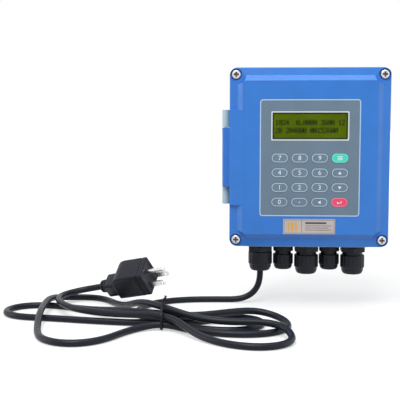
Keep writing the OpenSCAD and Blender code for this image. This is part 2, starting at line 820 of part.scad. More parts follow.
module plug_pins() {
    color([0.82, 0.82, 0.84]) at_plug() translate([plug_face_x, 0, -pin_group_drop]) {
        for (k = [-1, 1]) difference() {
            translate([0, k * blade_space / 2, 0]) rotate([90, 0, 0])
                linear_extrude(blade_t, center = true) polygon([
                    [0, -blade_w / 2], [blade_l - blade_tip, -blade_w / 2],
                    [blade_l, -blade_w / 2 + blade_tip], [blade_l, blade_w / 2 - blade_tip],
                    [blade_l - blade_tip, blade_w / 2], [0, blade_w / 2]
                ]);
            translate([blade_l * blade_hole_share, 0, 0]) rotate([90, 0, 0])
                cylinder(d = blade_hole_dia, h = 2 * blade_space, center = true);
        }
        translate([0, 0, earth_pin_rise]) rotate([0, 90, 0])
            cylinder(d = earth_pin_dia, h = earth_pin_l - earth_pin_dia / 2);
        translate([earth_pin_l - earth_pin_dia / 2, 0, earth_pin_rise]) sphere(d = earth_pin_dia);
    }
}

module lid_shell() {
    color([0.2, 0.42, 0.82]) difference() {
        union() {
            plate(base_d, lid_d) round_rect(case_w, case_h, case_r);
            raised_panel();
            hinge_wedge();
            lid_knuckle();
        }
        difference() {
            plate(base_d - over, lid_d - front_t + over) cavity_outline(0);
            at_lid_bosses(main_board_front_y, front_t + lid_d) circle(d = boss_dia);
        }
        difference() {
            plate(rim_y - front_t - over, panel_rise + over) panel_cavity();
            at_lid_bosses(main_board_front_y, front_t + lid_d) circle(d = boss_dia);
        }
        at_lid_bosses(main_board_front_y - over, pilot_t + over) circle(d = pilot_dia);
        gasket_groove();
        at_lid_screws() {
            rod(0, 0, base_d - over, lid_d, screw_hole_dia);
            rod(0, 0, screw_seat_y, panel_rise + lid_d, pocket_dia);
            translate([0, -rim_y, 0]) rotate([90, 0, 0])
                cylinder(r1 = corner_cut_r, r2 = corner_cut_top_r, h = panel_rise + over);
        }
        plate(overlay_y, overlay_t + over)
            round_rect(overlay_w + 2 * seat_gap, overlay_h + 2 * seat_gap, overlay_r);
        translate([0, 0, window_z]) plate(inner_front_y - over, front_t + over)
            square([window_w - 2 * lcd_lip, window_h - 2 * lcd_lip], center = true);
        for (c = [0 : 3], r = [0 : 3])
            rod(key_x(c), key_z(r), inner_front_y - over, front_t + over, stem_hole_dia);
        translate([-hinge_x, -hinge_y, 0])
            cylinder(d = hinge_pin_dia + 2 * pin_gap, h = hinge_h, center = true);
    }
}

module raised_panel() {
    hull() {
        plate(rim_y - hull_skin, hull_skin)
            round_rect(panel_w + 2 * slope_w, panel_h + 2 * slope_w, slope_r, $fn = hull_fn);
        plate(panel_y - hull_skin, hull_skin) round_rect(panel_w, panel_h, panel_r, $fn = hull_fn);
    }
}

// Beside the hinge the panel runs out to the lid's edge
module hinge_wedge() {
    linear_extrude(hinge_h, center = true) polygon([
        [-panel_w / 2, -panel_y], [-case_w / 2, -(panel_y - wedge_drop)],
        [-case_w / 2, -(rim_y - over)], [-panel_w / 2, -(rim_y - over)]
    ]);
}

// Middle knuckle of the hinge, with the arm that runs past the base to the lid
module lid_knuckle() {
    translate([-hinge_x, -hinge_y, 0]) cylinder(d = knuckle_dia, h = lid_knuckle_h, center = true);
    linear_extrude(lid_knuckle_h, center = true) polygon([
        [-hinge_x - knuckle_dia / 2, -hinge_y], [-case_w / 2 - run_gap, -hinge_y],
        [-case_w / 2 - run_gap, -base_d], [-case_w / 2 + wall_t / 2, -base_d],
        [-case_w / 2 + wall_t / 2, -hinge_y - lid_arm_t], [-hinge_x - knuckle_dia / 2, -hinge_y - lid_arm_t]
    ]);
}

module panel_cavity() {
    difference() {
        square([panel_w - wall_t, panel_h - wall_t], center = true);
        for (x = [-1, 1], z = [-1, 1])
            translate([x * screw_x, z * screw_z]) circle(corner_cut_r + slope_w + front_t);
    }
}

module at_lid_bosses(y, t) {
    for (x = [-1, 1], z = [-1, 1]) translate([x * lid_boss_x, 0, z * lid_boss_z]) plate(y, t) children();
}

module gasket_groove() {
    plate(base_d - over, gasket_t + over) gasket_outline(seat_gap);
}

module gasket_outline(g) {
    difference() {
        cavity_outline(gasket_in + gasket_w + g);
        cavity_outline(gasket_in - g);
    }
}

module lid_gasket() {
    color([0.12, 0.12, 0.13]) plate(base_d, gasket_t) gasket_outline(0);
}

module keypad_overlay() {
    color([0.4, 0.48, 0.56]) difference() {
        plate(overlay_y, overlay_t) round_rect(overlay_w, overlay_h, overlay_r);
        translate([0, 0, window_z]) plate(overlay_y - over, overlay_t + 2 * over)
            round_rect(window_w, window_h, window_r);
        for (c = [0 : 3], r = [0 : 3]) translate([key_x(c), 0, key_z(r)])
            plate(overlay_y - over, overlay_t + 2 * over) obround(key_w + 2 * key_gap, key_h + 2 * key_gap);
    }
}

module lcd_window() {
    color([0.7, 0.78, 0.6, 0.4]) translate([0, 0, window_z]) plate(overlay_y, overlay_t)
        round_rect(window_w - 2 * window_gap, window_h - 2 * window_gap, window_r);
}

module lcd_display() {
    color([0.4, 0.48, 0.1]) box(0, window_z, main_board_front_y, display_w, display_h, display_t);
}

module lcd_frame() {
    color([0.15, 0.15, 0.16]) difference() {
        box(0, window_z, main_board_front_y, lcd_frame_w, lcd_frame_h, lcd_frame_t);
        translate([0, 0, window_z]) plate(main_board_front_y - over, lcd_frame_t + 2 * over)
            square([display_w + 2 * window_gap, display_h + 2 * window_gap], center = true);
    }
}

module main_board() {
    color([0.1, 0.36, 0.2]) difference() {
        box(0, 0, main_board_y, main_board_w, main_board_h, board_t);
        at_lid_bosses(main_board_y - over, board_t + 2 * over) circle(d = board_hole_dia);
    }
}

// Screws that hold the main board to the lid from behind
module main_board_screws() {
    color([0.75, 0.75, 0.78]) {
        at_lid_bosses(main_board_y - board_screw_head_t, board_screw_head_t) circle(d = board_screw_head_dia);
        at_lid_bosses(main_board_y - board_screw_head_t / 2, main_screw_l) circle(d = board_screw_dia);
    }
}

module key_switches() {
    color([0.25, 0.26, 0.28]) for (c = [0 : 3], r = [0 : 3]) {
        box(key_x(c), key_z(r), main_board_front_y, switch_w, switch_w, switch_t);
        rod(key_x(c), key_z(r), button_foot_y, button_y - button_foot_y, button_dia);
    }
}

// Chips, connectors and crystal on the back of the main board
module board_chips() {
    color([0.1, 0.1, 0.11]) for (c = chip_shares) {
        s = c * main_board_w;
        box(s[0], s[1], main_board_y - s[4], s[2], s[3], s[4]);
    }
}

module clock_battery() {
    color([0.75, 0.75, 0.77]) {
        difference() {
            rod(battery_x, battery_z, main_board_y - holder_t, holder_t, holder_dia);
            rod(battery_x, battery_z, cell_back_y - holder_t, holder_t, cell_dia + 2 * seat_gap);
        }
        rod(battery_x, battery_z, cell_back_y - cell_t, cell_t, cell_dia);
    }
}

module label_plate() {
    color([0.78, 0.73, 0.7]) translate([0, 0, label_z]) plate(panel_y, label_t)
        round_rect(label_w, label_h, label_r);
}

function key_x(c) = (c - 1.5) * key_pitch_x;
function key_z(r) = -r * key_pitch_z;

// Key cap in the overlay, with the stem that reaches its switch
module key(c, r) {
    translate([key_x(c), 0, key_z(r)]) plate(key_cap_y, key_cap_t) obround(key_w, key_h);
    rod(key_x(c), key_z(r), stem_y, key_cap_y - stem_y, stem_dia);
}

module grey_key(c, r) color([0.42, 0.5, 0.58]) key(c, r);
module key_7() grey_key(0, 0);
module key_8() grey_key(1, 0);
module key_9() grey_key(2, 0);
module key_menu() color([0.25, 0.8, 0.7]) key(3, 0);
module key_4() grey_key(0, 1);
module key_5() grey_key(1, 1);
module key_6() grey_key(2, 1);
module key_up() grey_key(3, 1);
module key_1() grey_key(0, 2);
module key_2() grey_key(1, 2);
module key_3() grey_key(2, 2);
module key_down() grey_key(3, 2);
module key_0() grey_key(0, 3);
module key_dot() grey_key(1, 3);
module key_left() grey_key(2, 3);
module key_enter() color([0.88, 0.28, 0.42]) key(3, 3);

// Captive screw with a cross recess
module lid_screw(x, z) {
    color([0.72, 0.7, 0.66]) translate([x * screw_x, 0, z * screw_z]) difference() {
        union() {
            rod(0, 0, screw_seat_y, screw_head_t, screw_head_dia);
            rod(0, 0, base_d - screw_grip, screw_seat_y - base_d + screw_grip + over, screw_dia);
        }
        for (s = [[recess_l, recess_w], [recess_w, recess_l]])
            plate(rim_y - recess_t, recess_t + over) square(s, center = true);
    }
}

module lid_screw_1() lid_screw(-1, 1);
module lid_screw_2() lid_screw(1, 1);
module lid_screw_3() lid_screw(-1, -1);
module lid_screw_4() lid_screw(1, -1);

base_shell();
lid_inserts();
hinge_pin();
gland_bodies();
gland_washers();
gland_locknuts();
gland_seals();
gland_nut_1();
gland_nut_2();
gland_nut_3();
gland_nut_4();
gland_nut_5();
power_board();
power_board_screws();
power_transformer();
smoothing_capacitors();
mains_fuse();
fuse_clips();
output_relays();
mains_terminal();
signal_terminals();
earth_stud();
mains_tail();
power_cord_lead();
power_cord_hank();
cord_tie();
plug_body();
plug_pins();
lid_shell();
lid_gasket();
keypad_overlay();
lcd_window();
lcd_display();
lcd_frame();
main_board();
main_board_screws();
key_switches();
board_chips();
clock_battery();
label_plate();
key_7();
key_8();
key_9();
key_menu();
key_4();
key_5();
key_6();
key_up();
key_1();
key_2();
key_3();
key_down();
key_0();
key_dot();
key_left();
key_enter();
lid_screw_1();
lid_screw_2();
lid_screw_3();
lid_screw_4();
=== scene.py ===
"""Looks of the wall-mounted flow meter: its finishes, rounded shells, keys, display, cord and plug."""
import json
import math

import bmesh
import bpy
from mathutils import Matrix, Vector


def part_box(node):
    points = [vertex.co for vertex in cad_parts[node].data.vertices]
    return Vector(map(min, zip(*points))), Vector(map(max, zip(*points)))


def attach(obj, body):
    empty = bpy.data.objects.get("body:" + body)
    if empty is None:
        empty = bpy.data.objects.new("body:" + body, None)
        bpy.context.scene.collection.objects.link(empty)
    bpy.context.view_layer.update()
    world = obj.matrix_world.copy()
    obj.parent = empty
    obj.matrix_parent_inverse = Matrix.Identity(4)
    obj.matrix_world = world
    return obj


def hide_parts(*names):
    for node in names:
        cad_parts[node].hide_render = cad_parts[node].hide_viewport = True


MM = 0.001
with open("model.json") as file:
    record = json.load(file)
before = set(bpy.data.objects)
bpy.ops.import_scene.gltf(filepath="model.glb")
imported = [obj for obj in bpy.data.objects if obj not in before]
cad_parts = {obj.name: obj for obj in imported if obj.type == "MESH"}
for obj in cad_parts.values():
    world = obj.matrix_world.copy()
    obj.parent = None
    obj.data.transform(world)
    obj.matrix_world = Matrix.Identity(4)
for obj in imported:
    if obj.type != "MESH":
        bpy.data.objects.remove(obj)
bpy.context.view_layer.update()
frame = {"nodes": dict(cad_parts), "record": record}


def new_object(name, data):
    made = bpy.data.objects.new(name, data)
    bpy.context.scene.collection.objects.link(made)
    return made


def aim(camera_or_lamp, way):
    camera_or_lamp.rotation_euler = way.to_track_quat("-Z", "Y").to_euler()


# Camera, at the photograph's viewing angle
CAMERA_PLACE = (-63.66, -906.0, 39.6)
CAMERA_YAW = math.radians(-3.08)
CAMERA_PITCH = math.radians(5.5)
CAMERA_RANGE = (0.05, 40)
PHOTO_FOCAL_PX = 850
PHOTO_PX = 400
SENSOR_MM = 36


def make_camera():
    data = bpy.data.cameras.new("camera")
    data.sensor_width = SENSOR_MM
    data.lens = PHOTO_FOCAL_PX / PHOTO_PX * SENSOR_MM
    data.clip_start, data.clip_end = CAMERA_RANGE
    camera = new_object("camera", data)
    aim(camera, Vector((
        math.sin(CAMERA_YAW) * math.cos(CAMERA_PITCH),
        math.cos(CAMERA_YAW) * math.cos(CAMERA_PITCH),
        -math.sin(CAMERA_PITCH),
    )))
    camera.location = Vector(CAMERA_PLACE) * MM
    bpy.context.scene.camera = camera


make_camera()


# Materials

LOOKS = {}
PATCH_DETAIL, GLOSS_DETAIL, GRAIN_DETAIL = 2.0, 4.0, 3.0
RAMP_SPAN = (0.3, 0.7)
GLOSS_PATCH = 0.4  # size of the patches of gloss, as a share of the patches of colour
GLOSS_SPREAD = 0.06
GRAIN_DEPTH = 0.25  # depth of the grain, as a share of its width
COAT_ROUGHNESS = 0.12
FILM_TINTS = (0.02, 0.03, 0.02, 1), (0.03, 0.04, 0.03, 1)
FILM_ALPHA = 0.04


def feed(node, inputs):
    """Sets a node's inputs, and links those for which another node's output is given."""
    for name, value in inputs.items():
        if isinstance(value, bpy.types.NodeSocket):
            node.id_data.links.new(value, node.inputs[name])
        else:
            node.inputs[name].default_value = value


def add_node(tree, kind, inputs):
    node = tree.nodes.new("ShaderNode" + kind)
    feed(node, inputs)
    return node


def new_material(name):
    LOOKS[name] = mat = bpy.data.materials.new(name)
    mat.use_nodes = True
    return mat.node_tree, mat.node_tree.nodes["Principled BSDF"]


def add_noise(tree, size, detail, stretch=(1, 1, 1)):
    """Noise whose lumps are about size metres across, fixed to the piece."""
    place = add_node(tree, "TexCoord", {})
    mapping = add_node(tree, "Mapping", {"Vector": place.outputs["Object"], "Scale": stretch})
    noise = add_node(tree, "TexNoise", {
        "Vector": mapping.outputs["Vector"], "Scale": 1 / size, "Detail": detail
    })
    return noise.outputs["Fac"]


def ramp(tree, source, low, high):
    """Maps a noise to the colours or levels from low to high."""
    node = add_node(tree, "ValToRGB", {"Fac": source})
    for element, place, color in zip(node.color_ramp.elements, RAMP_SPAN, (low, high)):
        element.position = place
        element.color = color
    return node.outputs["Color"]


def shade(color, factor):
    return tuple(min(1.0, c * factor) for c in color) + (1.0,)


def grey(level):
    return (level, level, level, 1.0)


def surface(name, color, roughness, metallic=0.0, grain=0.0006, bump=0.08, mottle=0.06, patch=0.02,
            coat=0.0, stretch=(1, 1, 1), specular=0.5):
    """Plastic, rubber or metal: a colour with slow patches, uneven gloss and a fine grain."""
    tree, bsdf = new_material(name)
    patches = add_noise(tree, patch, PATCH_DETAIL, stretch)
    gloss = add_noise(tree, patch * GLOSS_PATCH, GLOSS_DETAIL, stretch)
    lift = add_node(tree, "Bump", {"Strength": bump, "Distance": grain * GRAIN_DEPTH,
                                   "Height": add_noise(tree, grain, GRAIN_DETAIL, stretch)})
    feed(bsdf, {
        "Base Color": ramp(tree, patches, shade(color, 1 - mottle), shade(color, 1 + mottle)),
        "Roughness": ramp(tree, gloss, grey(roughness - GLOSS_SPREAD), grey(roughness + GLOSS_SPREAD)),
        "Normal": lift.outputs["Normal"], "Metallic": metallic, "Specular IOR Level": specular,
        "Coat Weight": coat, "Coat Roughness": COAT_ROUGHNESS,
    })


def clear_film(name):
    """Thin clear plastic: it shows what is behind it, with a slight gloss of its own."""
    tree, bsdf = new_material(name)
    feed(bsdf, {
        "Base Color": ramp(tree, add_noise(tree, 0.01, GRAIN_DETAIL), *FILM_TINTS),
        "Roughness": 0.08, "Specular IOR Level": 0.2, "Alpha": FILM_ALPHA,
    })


# Finishes of the part's material slots
KEYPAD_FILM = {"grain": 0.0005, "bump": 0.2, "mottle": 0.04}
BRIGHT = {"metallic": 1.0, "grain": 0.0003}
surface("case_grey", (0.42, 0.54, 0.58), 0.45, grain=0.0008, bump=0.12, mottle=0.03, specular=0.35)
surface("lid_blue", (0.024, 0.172, 0.575), 0.34, grain=0.0007, bump=0.10, mottle=0.04, specular=0.45)
surface("gland_black", (0.009, 0.011, 0.0165), 0.38, grain=0.0004, bump=0.15, specular=0.22)
surface("washer_rubber", (0.03, 0.03, 0.034), 0.7)
surface("seal_rubber", (0.016, 0.016, 0.018), 0.62)
surface("brass", (0.72, 0.50, 0.20), 0.28, **BRIGHT)
surface("pin_steel", (0.60, 0.60, 0.62), 0.26, stretch=(1, 1, 0.1), **BRIGHT)
surface("screw_steel", (0.62, 0.62, 0.64), 0.25, **BRIGHT)
surface("screw_nickel", (0.58, 0.58, 0.60), 0.38, **BRIGHT)
surface("board_green", (0.020, 0.130, 0.055), 0.30, patch=0.004, mottle=0.25, coat=0.3)
surface("core_iron", (0.10, 0.10, 0.11), 0.45, 0.6, stretch=(1, 6, 1))
surface("part_black", (0.020, 0.020, 0.023), 0.5)
surface("fuse_glass", (0.75, 0.78, 0.78), 0.15, 0.6)
surface("relay_blue", (0.02, 0.10, 0.38), 0.3)
surface("terminal_green", (0.015, 0.21, 0.09), 0.45)
surface("cord_black", (0.007, 0.009, 0.0155), 0.36, grain=0.0005, bump=0.2, mottle=0.12, specular=0.20)
surface("tie_black", (0.005, 0.005, 0.006), 0.4, specular=0.2)
surface("plug_black", (0.009, 0.0105, 0.017), 0.46, bump=0.3, specular=0.22)
surface("pin_metal", (0.78, 0.77, 0.76), 0.24, 1.0, grain=0.0004, stretch=(0.2, 1, 1))
surface("overlay_slate", (0.118, 0.182, 0.248), 0.46, **KEYPAD_FILM)
clear_film("window_clear")
surface("display_olive", (0.094, 0.144, 0.001), 0.6, patch=0.03, mottle=0.16, specular=0.03)
surface("cell_steel", (0.60, 0.60, 0.62), 0.22, 1.0)
surface("label_silver", (0.46, 0.41, 0.39), 0.38, 0.35, grain=0.0003)
surface("key_slate", (0.124, 0.190, 0.258), 0.42, **KEYPAD_FILM)
surface("key_turquoise", (0.050, 0.620, 0.460), 0.42, **KEYPAD_FILM)
surface("key_red", (0.760, 0.055, 0.140), 0.42, **KEYPAD_FILM)
for subpart in frame["record"]["subparts"]:
    node = frame["nodes"][subpart["node"]]
    node.data.materials.clear()
    node.data.materials.append(LOOKS[subpart["material_slot"]])

# Finishes of details
surface("key_slate_edge", (0.47, 0.60, 0.71), 0.5, mottle=0.03)
surface("key_turquoise_edge", (0.20, 0.72, 0.62), 0.42, mottle=0.04)
surface("key_red_edge", (0.80, 0.26, 0.36), 0.42, mottle=0.04)
surface("print_white", (0.74, 0.82, 0.90), 0.5, mottle=0.03)
surface("print_border", (0.47, 0.62, 0.85), 0.5, mottle=0.03)
surface("print_cream", (0.62, 0.68, 0.64), 0.45, mottle=0.03)
surface("print_pale", (0.55, 0.57, 0.58), 0.5, mottle=0.04)
surface("print_ink", (0.05, 0.045, 0.045), 0.5)
surface("print_amber", (0.62, 0.36, 0.06), 0.5)
# Darker olive of the painted shade just inside the display's edge
surface("display_shaded", (0.036, 0.056, 0.001), 0.6, mottle=0.2, specular=0.1)
surface("display_pixel", (0.004, 0.009, 0.001), 0.6, specular=0.1)
surface("winding_tape", (0.60, 0.36, 0.06), 0.35, grain=0.0010, bump=0.5, stretch=(0.1, 1, 4), coat=0.3)
surface("core_brown", (0.16, 0.06, 0.02), 0.45)
surface("core_blue", (0.02, 0.09, 0.35), 0.45)
surface("core_green", (0.10, 0.32, 0.03), 0.45, patch=0.003, mottle=0.6)
# Dark colour painted as shade into screw crosses and slots, wire holes, pin-one dimples and vent crosses;
# the cell's plus mark uses it too
surface("recess_painted_shade", (0.16, 0.13, 0.09), 0.6, 0.6)
surface("copper", (0.70, 0.30, 0.14), 0.35, 1.0, stretch=(1, 1, 8))
clear_film("fuse_glass_tube")


# Building helpers. Depths are distances out from the wall, in millimetres, as in the part's source.

WELD = 1e-7
FLAT_BEFORE, FLAT_AFTER = math.radians(0.6), math.radians(0.4)
SHARP_EDGE = math.radians(20)


class Solid:
    """A solid's middle and size on the front, and the depths of its two sides, in millimetres."""

    def __init__(self, low, high):
        self.low, self.high = low, high
        self.x, self.y, self.z = [(a + b) / 2 for a, b in zip(low, high)]
        self.w, self.h = high.x - low.x, high.z - low.z
        self.r = self.w / 2
        self.near, self.far = -high.y, -low.y


def solid_of(node):
    low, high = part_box(node)
    return Solid(low / MM, high / MM)


def mesh_of(node):
    bm = bmesh.new()
    bm.from_mesh(frame["nodes"][node].data)
    return bm


def weld(bm):
    bmesh.ops.remove_doubles(bm, verts=bm.verts, dist=WELD)


def solids_of(node):
    """Each separate solid of a node, from top to bottom."""
    bm = mesh_of(node)
    weld(bm)
    left = set(bm.verts)
    solids = []
    while left:
        group = [left.pop()]
        for vert in group:
            for edge in vert.link_edges:
                other = edge.other_vert(vert)
                if other in left:
                    left.remove(other)
                    group.append(other)
        low, high = (Vector(end(v.co[axis] for v in group) for axis in range(3)) / MM for end in (min, max))
        solids.append(Solid(low, high))
    bm.free()
    return sorted(solids, key=lambda s: (-round(s.low.z, 1), s.low.x))


def finish_piece(name, bm, looks, body, stands_for=(), sharp=35):
    """Makes an object of the mesh, shades it, and lets it ride on its body."""
    mesh = bpy.data.meshes.new(name)
    bmesh.ops.recalc_face_normals(bm, faces=bm.faces)
    bm.to_mesh(mesh)
    bm.free()
    for look in looks:
        mesh.materials.append(LOOKS[look])
    mesh.shade_smooth()
    mesh.set_sharp_from_angle(angle=math.radians(sharp))
    piece = new_object(name, mesh)
    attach(piece, body)
    if stands_for:
        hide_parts(*stands_for)
    return piece


def make_piece(name, draw, node, looks, body, stands=True, each=False, sharp=35):
    """Draws a piece on a node's box, or on each of its solids, and lets it stand for the node."""
    bm = bmesh.new()
    for solid in solids_of(node) if each else [solid_of(node)]:
        draw(bm, solid)
    finish_piece(name, bm, looks, body, (node,) if stands else (), sharp)


def weigh_normals(piece):
    """Keeps the flat faces flat beside rounded edges."""
    modifier = piece.modifiers.new("weighted", "WEIGHTED_NORMAL")
    modifier.keep_sharp = True
    modifier.weight = 100


def join_flat_faces(bm, angle):
    bmesh.ops.dissolve_limit(
        bm, angle_limit=angle, verts=bm.verts, edges=bm.edges, use_dissolve_boundaries=False
    )


def add_rounded_copy(node, name, width, segments, slot, wanted=lambda edge: True):
    """A copy of a node on the base, for which it stands, with its wanted convex edges rounded."""
    bm = mesh_of(node)
    weld(bm)
    join_flat_faces(bm, FLAT_BEFORE)
    bmesh.ops.triangulate(bm, faces=[f for f in bm.faces if len(f.verts) > 4], ngon_method="EAR_CLIP")
    edges = [
        e for e in bm.edges
        if len(e.link_faces) == 2 and e.is_convex and e.calc_face_angle() > SHARP_EDGE and wanted(e)
    ]
    bmesh.ops.bevel(
        bm, geom=edges, offset=width * MM, offset_type="OFFSET", segments=segments, profile=0.5,
        affect="EDGES", clamp_overlap=False, loop_slide=False
    )
    join_flat_faces(bm, FLAT_AFTER)
    weigh_normals(finish_piece(name, bm, (slot,), "base", (node,)))


# Outlines are lists of places across and up

def arc(cx, cz, r, start, end, steps):
    turns = [math.radians(start + (end - start) * k / steps) for k in range(steps + 1)]
    return [(cx + r * math.cos(a), cz + r * math.sin(a)) for a in turns]


def circle(r, count):
    turns = [math.radians(360 * k / count) for k in range(count)]
    return [(r * math.cos(a), r * math.sin(a)) for a in turns]


def stadium(w, h, steps=12):
    """A bar with full-round ends."""
    end = arc(w / 2 - h / 2, 0, h / 2, -90, 90, steps)
    return end + [(-x, -z) for x, z in end]


def round_rect(w, h, r, steps=6):
    points = []
    for sx, sz, turn in ((1, 1, 0), (-1, 1, 90), (-1, -1, 180), (1, -1, 270)):
        points += arc(sx * (w / 2 - r), sz * (h / 2 - r), r, turn, turn + 90, steps)
    return points


def bar(w, h, dx=0.0, dz=0.0):
    left, right, low, high = dx - w / 2, dx + w / 2, dz - h / 2, dz + h / 2
    return [(left, low), (right, low), (right, high), (left, high)]


def front(x, z, depth):
    return Vector((x, -depth, z)) * MM


def on_front(outline, x, z, depth):
    """The outline's points round a middle, at one depth from the wall."""
    return [front(x + p[0], z + p[1], depth) for p in outline]


def on_level(outline, x, y, z):
    """The outline's points round an upright axis, at one height."""
    return [Vector((x + p[0], y + p[1], z)) * MM for p in outline]


def add_face(bm, points, look):
    bm.faces.new([bm.verts.new(p) for p in points]).material_index = look


def add_shape(bm, outline, x, z, depth, look):
    add_face(bm, on_front(outline, x, z, depth), look)


def add_loops(bm, loops, look=0, close=True):
    """Skins a row of rings that have as many points each. Returns the rings' vertices."""
    rings = [[bm.verts.new(p) for p in loop] for loop in loops]
    for lower, upper in zip(rings, rings[1:]):
        for k in range(len(lower)):
            n = (k + 1) % len(lower)
            bm.faces.new((lower[k], lower[n], upper[n], upper[k])).material_index = look
    if close:
        for ring in (rings[0], rings[-1]):
            bm.faces.new(ring).material_index = look
    return rings


def add_levels(bm, x, z, levels, look=0, close=True):
    """Skins outlines round one middle, each at its own depth."""
    return add_loops(bm, [on_front(outline, x, z, depth) for outline, depth in levels], look, close)


def add_frame(bm, outer, inner, x, z, low, high, look=0):
    """Flat ring between two outlines that have as many points each."""
    levels = ((outer, low), (outer, high), (inner, high), (inner, low), (outer, low))
    add_levels(bm, x, z, levels, look, close=False)


def add_block(bm, x, z, w, h, base, top, r=0.5, edge=0.3, look=0):
    """Block that stands on a board from its base to its top, with its upright and top edges rounded."""
    soft = edge if top > base else -edge
    add_levels(bm, x, z, [
        (round_rect(w - 2 * inset, h - 2 * inset, max(r - inset, 0.05), 3), depth)
        for depth, inset in ((base, 0), (top - soft, 0), (top - soft * 0.3, edge * 0.3), (top, edge))
    ], look)


def add_turned(bm, x, z, profile, look=0, around=40):
    """Round piece on an axis out from the wall: each step is its radius and depth."""
    add_levels(bm, x, z, [(circle(r, around), depth) for r, depth in profile], look)


def add_turned_x(bm, y, z, profile, look=0, around=24):
    """Round piece on an axis across the case: each step is its radius and x."""
    add_loops(bm, [
        [Vector((x, y + p[0], z + p[1])) * MM for p in circle(r, around)] for r, x in profile
    ], look)


# Mains cord: its route in millimetres, x and y from the first gland's axis and height over the cord's
# resting line, as in the part's source
CORD_DIA = 6.5
CABLE_EXIT = Vector((-48, -20, -119))
CORD_DROP = 32
ROUTE_START = CABLE_EXIT - Vector((0, 0, CORD_DROP))
CORD_REST = ROUTE_START.z
ROUTE = [
    (0, 0, 32), (0, 0, 24.5), (-2, 0, 14), (-9, 0, 5), (-21, -1, 0), (-38, -1, 0), (-62, -2, 0),
    (-86, -7, 0), (-107, -20, 0), (-120, -41, 0), (-123, -66, 0), (-114, -89, 0), (-93, -105, 3),
    (-69, -109, 0), (-49, -97, 0), (-32, -84, 0), (-14, -82.5, 0), (1, -95.5, 0), (1, -117, 0),
    (-16, -132, 0), (-36, -135, 0), (-56, -129, 0), (-73, -120, 0), (-92, -113.5, 3), (-115, -110, 0),
    (-139, -107, 0), (-164, -103, 0), (-188, -98, 0), (-210, -94, 0), (-232, -92, 0), (-250, -80, 0),
    (-254, -60, 0), (-242, -43, 0), (-221, -38, 0), (-199, -45, 0), (-176, -59, 1), (-154, -76, 4),
    (-134, -91, 7.5), (-114, -103, 9), (-92, -109.5, 9), (-69, -111, 7.5), (-47, -103, 7.5),
    (-26, -90, 7.5), (-4, -83, 7.5), (17, -90, 3), (27, -110, 0), (20, -133, 0), (0, -146, 0),
    (-24, -148, 0), (-48, -143, 0), (-70, -131, 0), (-92, -120.5, 3), (-112, -128, 0), (-126, -148, 0),
    (-136, -170, 0), (-153, -185, 0), (-174, -186, 0), (-192, -173, 0), (-201, -152, 0), (-206, -128, 3),
    (-210, -103, 7.5), (-213, -78, 7), (-215, -52, 8), (-214, -27, 6), (-204, -6, 1), (-184, 3, 0),
    (-164, -5, 0), (-152, -23, 0), (-142, -44, 2), (-130, -67, 7), (-115, -91, 17), (-92, -113, 16.5),
    (-69, -123, 11), (-47, -130, 8), (-24, -133, 7.5), (-2, -132, 8), (18, -139, 7), (28, -158, 1),
    (21, -179, 0), (1, -190, 0), (-22, -186, 0), (-43, -172, 0), (-62, -152, 2), (-77, -132, 9),
    (-95, -119, 10), (-118, -111, 8), (-142, -106, 7.5), (-165, -97, 7.5), (-185, -83, 7.5), (-200, -62, 8),
    (-205, -45, 8), (-206.5, -30, 7.5), (-201, -17.5, 8), (-190, -10, 9.6), (-177, -9, 12),
    (-165, -13.5, 14.8),
]
CORD_END = ROUTE_START + Vector(ROUTE[-1])


def make_cord():
    """One smooth curve that the route's points steer."""
    guide = [ROUTE_START + Vector(p) for p in ROUTE]
    guide = [2 * guide[0] - guide[1]] + guide + [2 * guide[-1] - guide[-2]]
    data = bpy.data.curves.new("mains_cord", "CURVE")
    data.dimensions = "3D"
    data.bevel_depth = CORD_DIA / 2 * MM
    data.bevel_resolution = 6
    data.use_fill_caps = True
    spline = data.splines.new("NURBS")
    spline.points.add(len(guide) - 1)
    for point, place in zip(spline.points, guide):
        point.co = (*(place * MM), 1)
    spline.order_u = 4
    spline.resolution_u = 6
    spline.use_smooth = True
    data.materials.append(LOOKS["cord_black"])
    cord = new_object("mains_cord", data)
    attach(cord, "base")
    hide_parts("power_cord_lead", "power_cord_hank")
    return cord


mains_cord = make_cord()

# Plug, along its own axis from the end of the cord
PLUG_TURN, PLUG_TILT, PLUG_ROLL = -22, 12, 38
PLUG_PLACE = (
    Matrix.Translation(CORD_END * MM)
    @ Matrix.Rotation(math.radians(PLUG_TURN), 4, "Z")
    @ Matrix.Rotation(math.radians(-PLUG_TILT), 4, "Y")
    @ Matrix.Rotation(math.radians(PLUG_ROLL), 4, "X")
)
# Ringed sleeve: place, width and corner radius of each section
SLEEVE = (
    (-0.5, 8.6, 4.2), (0.1, 11.0, 5.4), (1.0, 12.6, 6.0), (2.7, 13.0, 6.0), (3.0, 11.2, 5.2),
    (3.9, 11.2, 5.2), (4.2, 13.0, 5.8), (6.0, 13.0, 5.6), (6.3, 11.4, 5.0), (7.2, 11.4, 5.0),
    (7.5, 13.0, 5.4), (9.0, 13.0, 5.0),
)
# Neck: place, width, height and corner radius
NECK = (
    (7.9, 15.0, 13.2, 2.4), (8.2, 17.6, 15.6, 2.8), (9.2, 19.2, 17.2, 3.0), (21.0, 19.6, 17.5, 3.0),
    (25.0, 19.6, 17.5, 3.0),
)
NECK_LIFT = -0.2
# Main block seen from the side: it is flush with the neck below, and rounded towards the earth pin
BLOCK_X, PLATE_X, FACE_X = 22, 54.6, 60
BLOCK_LOW, BLOCK_HIGH = -9, 20
BLOCK_HALF_W = 14
SHOULDER_R, HEEL_R, CORNER_R, SIDE_R = 12, 1.6, 0.8, 2.4
# Its side panel: how deep it is sunk at each distance in from the outline
SIDE_PANEL = ((0, 4.6), (0.12, 4.8), (0.42, 5.0), (0.5, 5.4))
